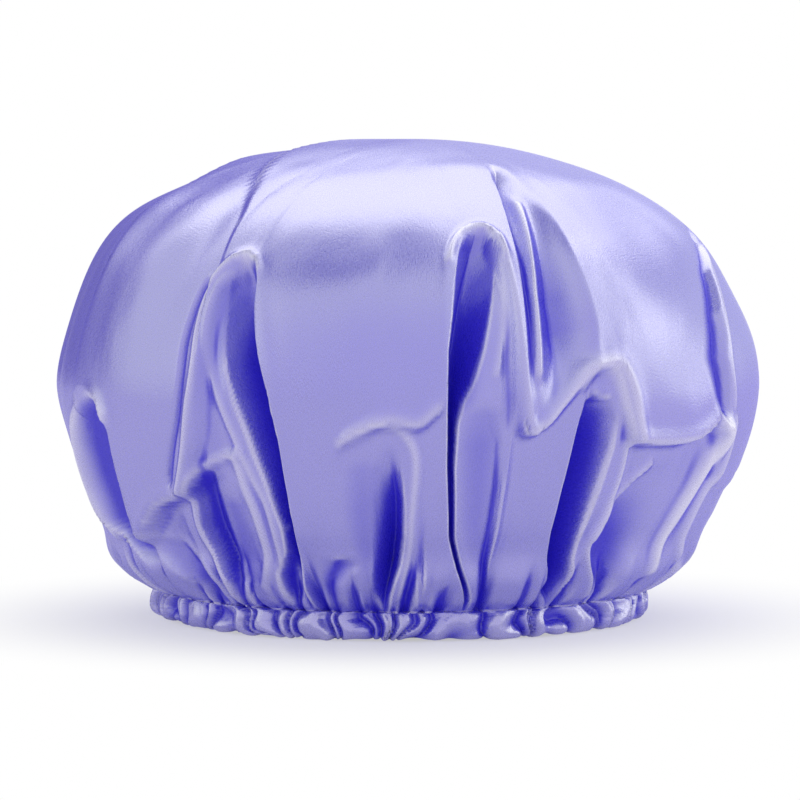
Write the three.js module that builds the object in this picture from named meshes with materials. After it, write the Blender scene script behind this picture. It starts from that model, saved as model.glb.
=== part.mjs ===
// A bouffant shower cap, standing on its hem as if a head filled it.
//
// A round of satin and a round of waterproof film are gathered together into a ruffled hem casing.
// The casing is a strip of the same satin, folded into a channel that is open at the top. It holds a ring
// of flat elastic, whose two ends lap and are sewn. Two rows of thread close the channel on the cloth.
//
// Millimetres, +Z up. The origin lies on the surface under the hem, below the middle of the cap.
// An azimuth is in degrees round +Z, nought at the front (-Y) and growing towards +X.
// "Along" is the share of the way from the middle of the crown, nought, down to the hem seam, one.

import * as THREE from 'three';
import { ParametricGeometry } from 'three/addons/geometries/ParametricGeometry.js';

// Driving dimensions of the whole cap
const capWidth = 230;
const capDepth = 222;
const capHeight = 157;
const widestHeight = 78;
const crownLean = 4;
const deepestFold = 18;
const highestSwell = 5;

// Cloth, and the clearance between layers that touch
const satinThickness = 0.8;
const filmThickness = 0.5;
const layerGap = 0.3;

// Flat elastic, relaxed
const elasticLength = 484;
const elasticWidth = 5.5;
const elasticThickness = 0.9;
const elasticLap = 14;
const elasticStep = 10;

// Hem casing
const casingThickness = 0.8;
const casingHeight = 9.5;
const ruffleDepth = 1.6;
const ruffleCount = 48;
const tuckDepth = 2.6;

// Sewing thread
const threadDiameter = 0.5;
const stitchDrop = 1.2;
const joinThreadDiameter = 0.3;
const zigzagCount = 5;

// Facets
const columnsPerRuffle = 3;
const elasticSteps = 90;
const threadSides = 5;
const threadSteps = 72;
const stepsPerZigzag = 8;

// Finishes
const satinLook = { color: 0x8f86d6, roughness: 0.34, metalness: 0.15 };
const filmLook = { color: 0xe9e8f2, roughness: 0.3, metalness: 0 };
const elasticLook = { color: 0xf2f0ea, roughness: 0.85, metalness: 0 };
const threadLook = { color: 0x8a80cf, roughness: 0.6, metalness: 0 };

// Where the layers stand at the hem. The channel is wide below, for the lapped elastic with its stitching,
// and its lips close on the cloth.
const elasticRadius = elasticLength / (2 * Math.PI);
const clothStack = satinThickness + layerGap + filmThickness;
const lapShift = elasticThickness + layerGap;
const lapFace = (lapShift + elasticThickness) / 2;
const joinThreadReach = lapFace + layerGap + joinThreadDiameter;
const channelHalf = joinThreadReach + layerGap;
const lipHalf = clothStack / 2 + layerGap;
const seamRadius = elasticRadius + clothStack / 2;
const seamHeight = casingHeight + layerGap;
const tuckHeight = casingHeight - tuckDepth;
const elasticFoot = casingThickness + layerGap;
const fullTurn = 2 * Math.PI;
const lapTurn = elasticLap / elasticRadius;

// How much of the ruffle has opened where the channel closes on the cloth
const shoulderRuffleShare = 0.6;

// How far the joining stitches keep from the edges of the lap
const zigzagMarginShare = 0.2;

// The meridian, from the crown's middle out to the widest ring and in to the seam, as two cubic curves.
// Each handle is a share of the run between the ends of its own curve.
const crownHandleShare = 0.42;
const shoulderHandleShare = 0.72;
const bellyHandleShare = 0.25;
const hemHandleShare = 0.5;
const widestRadius = capWidth / 2;

function meridianPath() {
  const path = new THREE.Path();
  const crownRise = capHeight - widestHeight;
  const bellyDrop = widestHeight - seamHeight;
  path.moveTo(0, capHeight);
  path.bezierCurveTo(
    crownHandleShare * widestRadius, capHeight,
    widestRadius, widestHeight + shoulderHandleShare * crownRise,
    widestRadius, widestHeight
  );
  path.bezierCurveTo(
    widestRadius, widestHeight - bellyHandleShare * bellyDrop,
    seamRadius + hemHandleShare * (widestRadius - seamRadius), seamHeight,
    seamRadius, seamHeight
  );
  return path;
}

const meridian = meridianPath();

// The hollows between the cap's puffed panels, in order round the cap. A station of a hollow is
// [along, azimuth, half width in degrees, depth as a share of the deepest fold].
const hollowShares = [
  // Left edge
  [[0.62, -61, 5, 0], [0.74, -60, 6, 0.6], [0.86, -57, 6, 0.65], [0.96, -57, 4, 0.25]],
  // Lower left cup
  [[0.7, -44, 5, 0], [0.79, -42, 6, 0.45], [0.88, -39, 7, 0.6], [0.96, -38, 5, 0.25]],
  // Tall hollow left of the middle
  [[0.42, -29, 4, 0], [0.54, -28, 6, 0.75], [0.73, -23, 6, 1], [0.87, -20, 5, 0.8], [0.96, -20, 4, 0.35]],
  // Low hollow in the middle
  [[0.64, -4, 4, 0], [0.76, -3.5, 5, 0.4], [0.88, -2, 4, 0.65], [0.96, -2, 3, 0.3]],
  // Tall hollow right of the middle
  [[0.37, 13, 3, 0], [0.51, 12, 5, 0.95], [0.63, 10, 5, 1], [0.76, 9, 3.5, 0.75], [0.96, 10, 3, 0.35]],
  // Shallow trough high on the right
  [[0.26, 24, 4, 0], [0.4, 24, 5, 0.3], [0.53, 23, 5, 0.3], [0.64, 22, 3, 0]],
  // Hollow on the right
  [[0.56, 35, 4, 0], [0.68, 32, 5, 0.75], [0.8, 31, 5, 0.95], [0.96, 30.5, 4, 0.4]],
  // Broad hollow at the lower right
  [[0.66, 53, 6, 0], [0.77, 51, 8, 0.45], [0.89, 47, 7, 0.65], [0.96, 46, 5, 0.3]],
  // Crease near the right edge
  [[0.42, 70, 4, 0], [0.6, 66, 4, 0.3], [0.78, 65, 5, 0.45], [0.96, 62, 4, 0.25]],
  // Right side
  [[0.5, 87, 5, 0], [0.66, 86, 6, 0.6], [0.84, 82, 6, 0.75], [0.96, 81, 4, 0.3]],
  // Back, from the right side round to the left
  [[0.58, 106, 5, 0], [0.74, 105, 7, 0.6], [0.88, 103, 6, 0.65], [0.96, 102, 4, 0.3]],
  [[0.36, 128, 4, 0], [0.54, 127, 6, 0.7], [0.74, 125, 6, 0.95], [0.96, 124, 4, 0.35]],
  [[0.64, 149, 5, 0], [0.8, 148, 7, 0.65], [0.96, 146, 5, 0.3]],
  [[0.42, 170, 5, 0], [0.58, 169, 6, 0.8], [0.76, 168, 6, 0.95], [0.96, 167, 4, 0.35]],
  [[0.62, 191, 5, 0], [0.8, 190, 7, 0.65], [0.96, 189, 5, 0.3]],
  [[0.34, 213, 4, 0], [0.52, 212, 6, 0.7], [0.73, 211, 6, 1], [0.96, 210, 4, 0.35]],
  [[0.6, 235, 6, 0], [0.78, 234, 7, 0.7], [0.96, 232, 5, 0.3]],
  [[0.44, 258, 5, 0], [0.62, 257, 6, 0.7], [0.82, 255, 6, 0.8], [0.96, 254, 4, 0.35]],
  // Left side
  [[0.56, 279, 5, 0], [0.72, 278, 6, 0.6], [0.88, 277, 6, 0.65], [0.96, 277, 4, 0.3]],
];

// The rounded edges of a hollow are drawn in too, by this share of its depth.
const edgeShare = 0.2;

// Where the cloth stands fuller than the meridian: [along, azimuth, reach along, reach round in degrees,
// height as a share of the highest swell]
const swellShares = [
  // Left shoulder
  [0.42, -98, 0.21, 95, 1],
  // Left side and right side, over the hem
  [0.74, -100, 0.12, 50, 0.4],
  [0.74, 92, 0.12, 40, 0.5],
  // Right shoulder
  [0.28, 40, 0.2, 50, 0.45],
  // Back
  [0.46, -150, 0.2, 40, 0.45],
  [0.46, 140, 0.2, 60, 0.35],
];

// The rows of facets down the cloth, closer together where the hollows are
const rowShares = [0, 0.2, 0.38, 0.52, 0.65, 0.77, 0.89, 1];

// The crown is out of round above this share of the way down, and round at the seam.
const roundingStartShare = 0.75;

const { degToRad, euclideanModulo, lerp, smoothstep } = THREE.MathUtils;

// A hollow at a share of the way down. It has no depth above its first station, and fades below its last.
function hollowAt(stations, along) {
  const last = stations[stations.length - 1];
  if (along >= last[0]) {
    const fade = (1 - along) / (1 - last[0]);
    return { azimuth: last[1], halfWidth: last[2], depth: last[3] * fade * deepestFold };
  }
  const next = Math.max(1, stations.findIndex((station) => station[0] > along));
  const [from, to] = [stations[next - 1], stations[next]];
  const way = Math.max(0, (along - from[0]) / (to[0] - from[0]));
  return {
    azimuth: lerp(from[1], to[1], way),
    halfWidth: lerp(from[2], to[2], way),
    depth: lerp(from[3], to[3], smoothstep(way, 0, 1)) * deepestFold,
  };
}

// One row's columns follow the folds. Each hollow has one down either edge and one down its bottom,
// and the panel after it has one down its middle, where it stands full.
function columnsAt(along) {
  const hollows = hollowShares.map((stations) => hollowAt(stations, along));
  return hollows.flatMap((hollow, index) => {
    const next = hollows[(index + 1) % hollows.length];
    const edge = hollow.azimuth + hollow.halfWidth;
    const panelWidth = euclideanModulo(next.azimuth - next.halfWidth - edge, 360);
    return [
      { azimuth: hollow.azimuth - hollow.halfWidth, depth: edgeShare * hollow.depth },
      { azimuth: hollow.azimuth, depth: hollow.depth },
      { azimuth: edge, depth: edgeShare * hollow.depth },
      { azimuth: edge + panelWidth / 2, depth: 0 },
    ];
  });
}

// How far the cloth swells out beyond the meridian.
function swellAt(azimuth, along) {
  const heights = swellShares.map(([middle, towards, reach, reachRound, share]) => {
    const turn = euclideanModulo(azimuth - towards + 180, 360) - 180;
    const away = Math.hypot((along - middle) / reach, turn / reachRound);
    return highestSwell * share * (1 - smoothstep(away, 0, 1));
  });
  return heights.reduce((total, height) => total + height, 0);
}

// The outside of the satin at an azimuth and a share of the way down, folded in to a depth.
function clothPoint(azimuth, along, depth) {
  const onPath = meridian.getPointAt(along);
  const tangent = meridian.getTangentAt(along);
  const inset = depth - swellAt(azimuth, along);
  const radius = onPath.x + tangent.y * inset;
  const height = onPath.y - tangent.x * inset;
  const outOfRound = 1 - smoothstep(along, roundingStartShare, 1);
  const depthScale = lerp(1, capDepth / capWidth, outOfRound);
  const lean = (crownLean * (height - seamHeight)) / (capHeight - seamHeight);
  const angle = degToRad(azimuth);
  return new THREE.Vector3(
    radius * Math.sin(angle) + lean,
    -radius * Math.cos(angle) * depthScale,
    height
  );
}

// The outer face of the crown's cloth as a net of facets, with its normals and the azimuth of each corner.
function clothFace() {
  const azimuths = [];
  const corners = [];
  for (const along of rowShares) {
    for (const { azimuth, depth } of columnsAt(along)) {
      azimuths.push(azimuth);
      corners.push(clothPoint(azimuth, along, depth));
    }
  }
  const columns = columnsAt(1).length;
  const geometry = new THREE.BufferGeometry().setFromPoints(corners);
  geometry.setIndex(netOfFacets(rowShares.length, columns));
  geometry.computeVertexNormals();
  const normals = corners.map((corner, index) =>
    new THREE.Vector3().fromBufferAttribute(geometry.attributes.normal, index)
  );
  normals.fill(new THREE.Vector3(0, 0, 1), 0, columns);
  return { columns, azimuths, corners, normals };
}

// The triangles of a net that closes round the cap, facing outwards where its rows run down the cap.
function netOfFacets(rows, columns) {
  const triangles = [];
  for (let row = 0; row + 1 < rows; row++) {
    for (let column = 0; column < columns; column++) {
      const next = (column + 1) % columns;
      const [above, below] = [row * columns, (row + 1) * columns];
      triangles.push(above + column, below + column, below + next);
      triangles.push(above + column, below + next, above + next);
    }
  }
  return triangles;
}

const cloth = clothFace();

// A face of a layer, inset from the satin's outer face. At the seam it turns down, into the casing.
function insetFace(inset) {
  const seamRow = (rowShares.length - 1) * cloth.columns;
  const crown = cloth.corners.slice(0, seamRow).map((corner, index) =>
    corner.clone().addScaledVector(cloth.normals[index], -inset)
  );
  const ring = (height) => cloth.azimuths.slice(seamRow).map((azimuth) => {
    const angle = degToRad(azimuth);
    const radius = seamRadius - inset;
    return new THREE.Vector3(radius * Math.sin(angle), -radius * Math.cos(angle), height);
  });
  return [...crown, ...ring(seamHeight + inset), ...ring(tuckHeight)];
}

// A layer of the crown as a closed wall: a face outside, a face inside and a rim under its tucked edge.
function crownLayer(outerInset, thickness) {
  const rows = rowShares.length + 1;
  const faceCorners = rows * cloth.columns;
  const outerTriangles = netOfFacets(rows, cloth.columns);
  const innerTriangles = outerTriangles.map((corner) => corner + faceCorners).reverse();
  const rimTriangles = [];
  const rim = faceCorners - cloth.columns;
  for (let column = 0; column < cloth.columns; column++) {
    const [outer, nextOuter] = [rim + column, rim + ((column + 1) % cloth.columns)];
    const [inner, nextInner] = [outer + faceCorners, nextOuter + faceCorners];
    rimTriangles.push(outer, inner, nextInner, outer, nextInner, nextOuter);
  }
  const geometry = new THREE.BufferGeometry();
  geometry.setFromPoints([...insetFace(outerInset), ...insetFace(outerInset + thickness)]);
  geometry.setIndex([...outerTriangles, ...innerTriangles, ...rimTriangles]);
  geometry.computeVertexNormals();
  return geometry;
}

// The hem casing: a channel of satin, pinched at its lips and ruffled towards its foot.
function hemCasing() {
  const columns = ruffleCount * columnsPerRuffle;
  // Half of the section: [how far out from the elastic's line, height, how much of the ruffle]
  const outerFace = [
    [lipHalf + casingThickness, casingHeight, 0],
    [channelHalf + casingThickness, tuckHeight, shoulderRuffleShare],
    [channelHalf + casingThickness, 0, 1],
  ];
  const innerFace = [
    [channelHalf, casingThickness, 1],
    [channelHalf, tuckHeight, shoulderRuffleShare],
    [lipHalf, casingHeight, 0],
  ];
  // Down the outside, up the side next to the head, down inside the channel, and up to the outer lip again
  const mirrored = (half) => [...half].reverse().map(([out, height, share]) => [-out, height, -share]);
  const closed = outerFace[0];
  const section = [...outerFace, ...mirrored(outerFace), ...mirrored(innerFace), ...innerFace, closed];
  const stacks = section.length - 1;
  const place = (u, v, target) => {
    const [out, height, share] = section[Math.round(v * stacks)];
    const angle = -2 * Math.PI * u;
    const pinched = Math.round(u * columns) % columnsPerRuffle === 0;
    const radius = elasticRadius + out + (pinched ? 0 : ruffleDepth * share);
    target.set(radius * Math.sin(angle), -radius * Math.cos(angle), height);
  };
  const geometry = new ParametricGeometry(place, columns, stacks);
  geometry.computeVertexNormals();
  return geometry;
}

// A point beside the elastic's line: how far round from the back, how far out, and how high.
function besideElastic(turn, out, height) {
  const radius = elasticRadius + out;
  return new THREE.Vector3(-radius * Math.sin(turn), radius * Math.cos(turn), height);
}

// The elastic: one flat strip, standing on edge, whose end steps out and laps over its start at the back.
function elasticBand() {
  const stepTurn = elasticStep / elasticRadius;
  const outerEdge = [];
  const innerEdge = [];
  for (let step = 0; step <= elasticSteps; step++) {
    const turn = ((fullTurn + lapTurn) * step) / elasticSteps;
    const shift = lapShift * (smoothstep(turn, fullTurn - stepTurn, fullTurn) - 0.5);
    outerEdge.push(besideElastic(turn, shift + elasticThickness / 2, 0));
    innerEdge.push(besideElastic(turn, shift - elasticThickness / 2, 0));
  }
  const plan = new THREE.Shape([...outerEdge, ...innerEdge.reverse()]);
  return new THREE.ExtrudeGeometry(plan, { depth: elasticWidth, bevelEnabled: false });
}

// The zigzag of thread across the lap that joins the elastic's ends.
function joinThread() {
  const out = joinThreadReach - joinThreadDiameter / 2;
  const points = [];
  for (let corner = 0; corner <= zigzagCount; corner++) {
    const turn = lapTurn * lerp(zigzagMarginShare, 1 - zigzagMarginShare, corner / zigzagCount);
    const rise = corner % 2 === 0 ? zigzagMarginShare : 1 - zigzagMarginShare;
    points.push(besideElastic(turn, out, elasticWidth * rise));
  }
  const section = new THREE.Shape();
  section.absarc(0, 0, joinThreadDiameter / 2, 0, fullTurn);
  return new THREE.ExtrudeGeometry(section, {
    extrudePath: new THREE.CatmullRomCurve3(points),
    steps: zigzagCount * stepsPerZigzag,
    curveSegments: threadSides,
  });
}

// A row of stitches, as the ring of thread that it draws round the casing below its lip.
function threadRing(side) {
  const belowLip = stitchDrop / tuckDepth;
  const lip = lipHalf + casingThickness;
  const shoulder = channelHalf + casingThickness + ruffleDepth * shoulderRuffleShare;
  const out = lerp(lip, shoulder, belowLip) + layerGap + threadDiameter / 2;
  return new THREE.TorusGeometry(elasticRadius + side * out, threadDiameter / 2, threadSides, threadSteps);
}

function piece(name, geometry, look, height = 0) {
  const mesh = new THREE.Mesh(geometry, new THREE.MeshStandardMaterial(look));
  mesh.name = name;
  mesh.position.z = height;
  return mesh;
}

const cap = new THREE.Group();

// Cloth of the crown
cap.add(piece('satin_shell', crownLayer(0, satinThickness), satinLook));
cap.add(piece('waterproof_lining', crownLayer(satinThickness + layerGap, filmThickness), filmLook));

// Hem
cap.add(piece('hem_casing', hemCasing(), satinLook));
cap.add(piece('elastic_band', elasticBand(), elasticLook, elasticFoot));

// Thread
const stitchHeight = casingHeight - stitchDrop;
cap.add(piece('elastic_join_thread', joinThread(), elasticLook, elasticFoot));
cap.add(piece('outer_seam_thread', threadRing(1), threadLook, stitchHeight));
cap.add(piece('inner_seam_thread', threadRing(-1), threadLook, stitchHeight));

// The crown leans over the hem, so the cap is set with the middle of its outline over the origin.
const outline = new THREE.Box3().setFromObject(cap, true);
const middle = outline.getCenter(new THREE.Vector3());
cap.position.set(-middle.x, -middle.y, -outline.min.z);

export default cap;
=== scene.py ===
"""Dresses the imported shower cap: gathered satin, waterproof film, ruffled hem, stitches and studio."""

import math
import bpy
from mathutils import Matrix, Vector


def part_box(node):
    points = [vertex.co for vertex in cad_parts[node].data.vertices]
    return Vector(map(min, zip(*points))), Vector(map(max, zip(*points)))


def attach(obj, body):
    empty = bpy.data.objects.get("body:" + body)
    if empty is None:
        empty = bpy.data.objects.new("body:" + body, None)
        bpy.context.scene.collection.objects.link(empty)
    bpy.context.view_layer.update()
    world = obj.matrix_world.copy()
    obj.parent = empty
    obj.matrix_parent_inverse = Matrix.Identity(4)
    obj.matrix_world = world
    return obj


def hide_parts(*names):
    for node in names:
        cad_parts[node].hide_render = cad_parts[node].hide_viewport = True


bl_info = {
    "name": "Satin shower cap",
    "version": (1, 0, 0),
    "blender": (4, 5, 0),
    "location": "3D View > Sidebar > Shower cap",
    "description": "Makes the cloth, hem, stitches and studio of a satin shower cap round its frame",
    "category": "Add Mesh",
}

import bmesh
import bpy
import numpy as np
from mathutils import Vector

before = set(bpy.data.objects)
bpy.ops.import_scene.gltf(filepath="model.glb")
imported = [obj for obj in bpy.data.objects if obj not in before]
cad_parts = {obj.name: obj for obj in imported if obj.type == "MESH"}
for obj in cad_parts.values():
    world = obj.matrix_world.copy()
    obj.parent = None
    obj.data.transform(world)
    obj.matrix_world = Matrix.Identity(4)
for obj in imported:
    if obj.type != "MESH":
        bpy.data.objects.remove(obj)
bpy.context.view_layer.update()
MM = 0.001
_, SHELL_HIGH = (Vector(corner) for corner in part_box("satin_shell"))
CASING_LOW, CASING_HIGH = (Vector(corner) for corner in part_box("hem_casing"))
ELASTIC_LOW, ELASTIC_HIGH = (Vector(corner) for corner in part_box("elastic_band"))
HEM_CENTRE = (CASING_LOW + CASING_HIGH) / 2
HALF_ELASTIC = 0.45 * MM

# The cloth as it was cut: the casing's strip is this long and wide.
CASING_CUT = (0.58, 0.024)

# How far the lining lies inside the satin, and how far round, in degrees, it keeps clear of a steep wall
LINING_INSET = 1.6 * MM
CLEAR_TURN = 1.4

# How far each layer's edge goes down into the casing, and the share by which it draws in there
CROWN_TUCK = 2 * MM
LINING_TUCK = 1 * MM
TUCK_SHRINK = 0.05
TUCK_ROWS = 2.0

# Columns and rows of the nets
CROWN_NET = (860, 115)
LINING_NET = (540, 85)
CASING_NET = (1000, 34)
MERGE_DISTANCE = 0.02 * MM

# The share up a net at which the cloth passes the crown's shoulder, and how far along the cloth that is
SHOULDER_ROW, SHOULDER_ALONG = 0.80, 0.34

# How closely the net's columns stand: at the sides, how much closer at the front than there, and how much
# closer at a guide, within a reach in degrees
SIDE_CROWD, FRONT_CROWD, GUIDE_CROWD, GUIDE_REACH = 0.7, 0.5, 1.2, 3.0
COLUMN_STEPS = 7201

# Stitches: the thread's radius, the rows' places across the casing, the share of its step that a stitch
# takes up to each side, how flat it is and how far it stands out of the cloth in radii, and the turn in
# degrees and the share by which the cloth's direction there is found
THREAD_RADIUS = 0.16 * MM
OUTER_ROW, INNER_ROW = 0.085, 0.84
STITCH_REACH, STITCH_FLATNESS, STITCH_RISE = 0.43, 0.8, 0.35
STITCH_SEGMENTS, STITCH_RINGS = 8, 6
NEXT_TURN, NEXT_SHARE = 0.3, 0.02

# Depths in millimetres between which painted shade comes onto the satin, by how deep in a fold it is meant
# to look and by how sharp a valley is, and between which a sharp edge gets a painted highlight. A valley and
# an edge are sought over this part of the round.
FOLD_DEPTHS, VALLEY_DEPTHS, EDGE_DEPTHS = (2.0, 14.0), (0.3, 1.5), (0.2, 1.2)
VALLEY_PART, EDGE_PART = 180, 300

# The same for the casing: painted shade in its pinches, by how full it is; and a painted highlight on its
# full lobes, by how full it is and how far across it a place lies, at this share
CASING_FOLDS, CASING_EDGES, CASING_EDGE_START, CASING_EDGE_SHARE = (0.2, 0.62), (0.4, 0.85), (0.12, 0.22), 0.5
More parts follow.
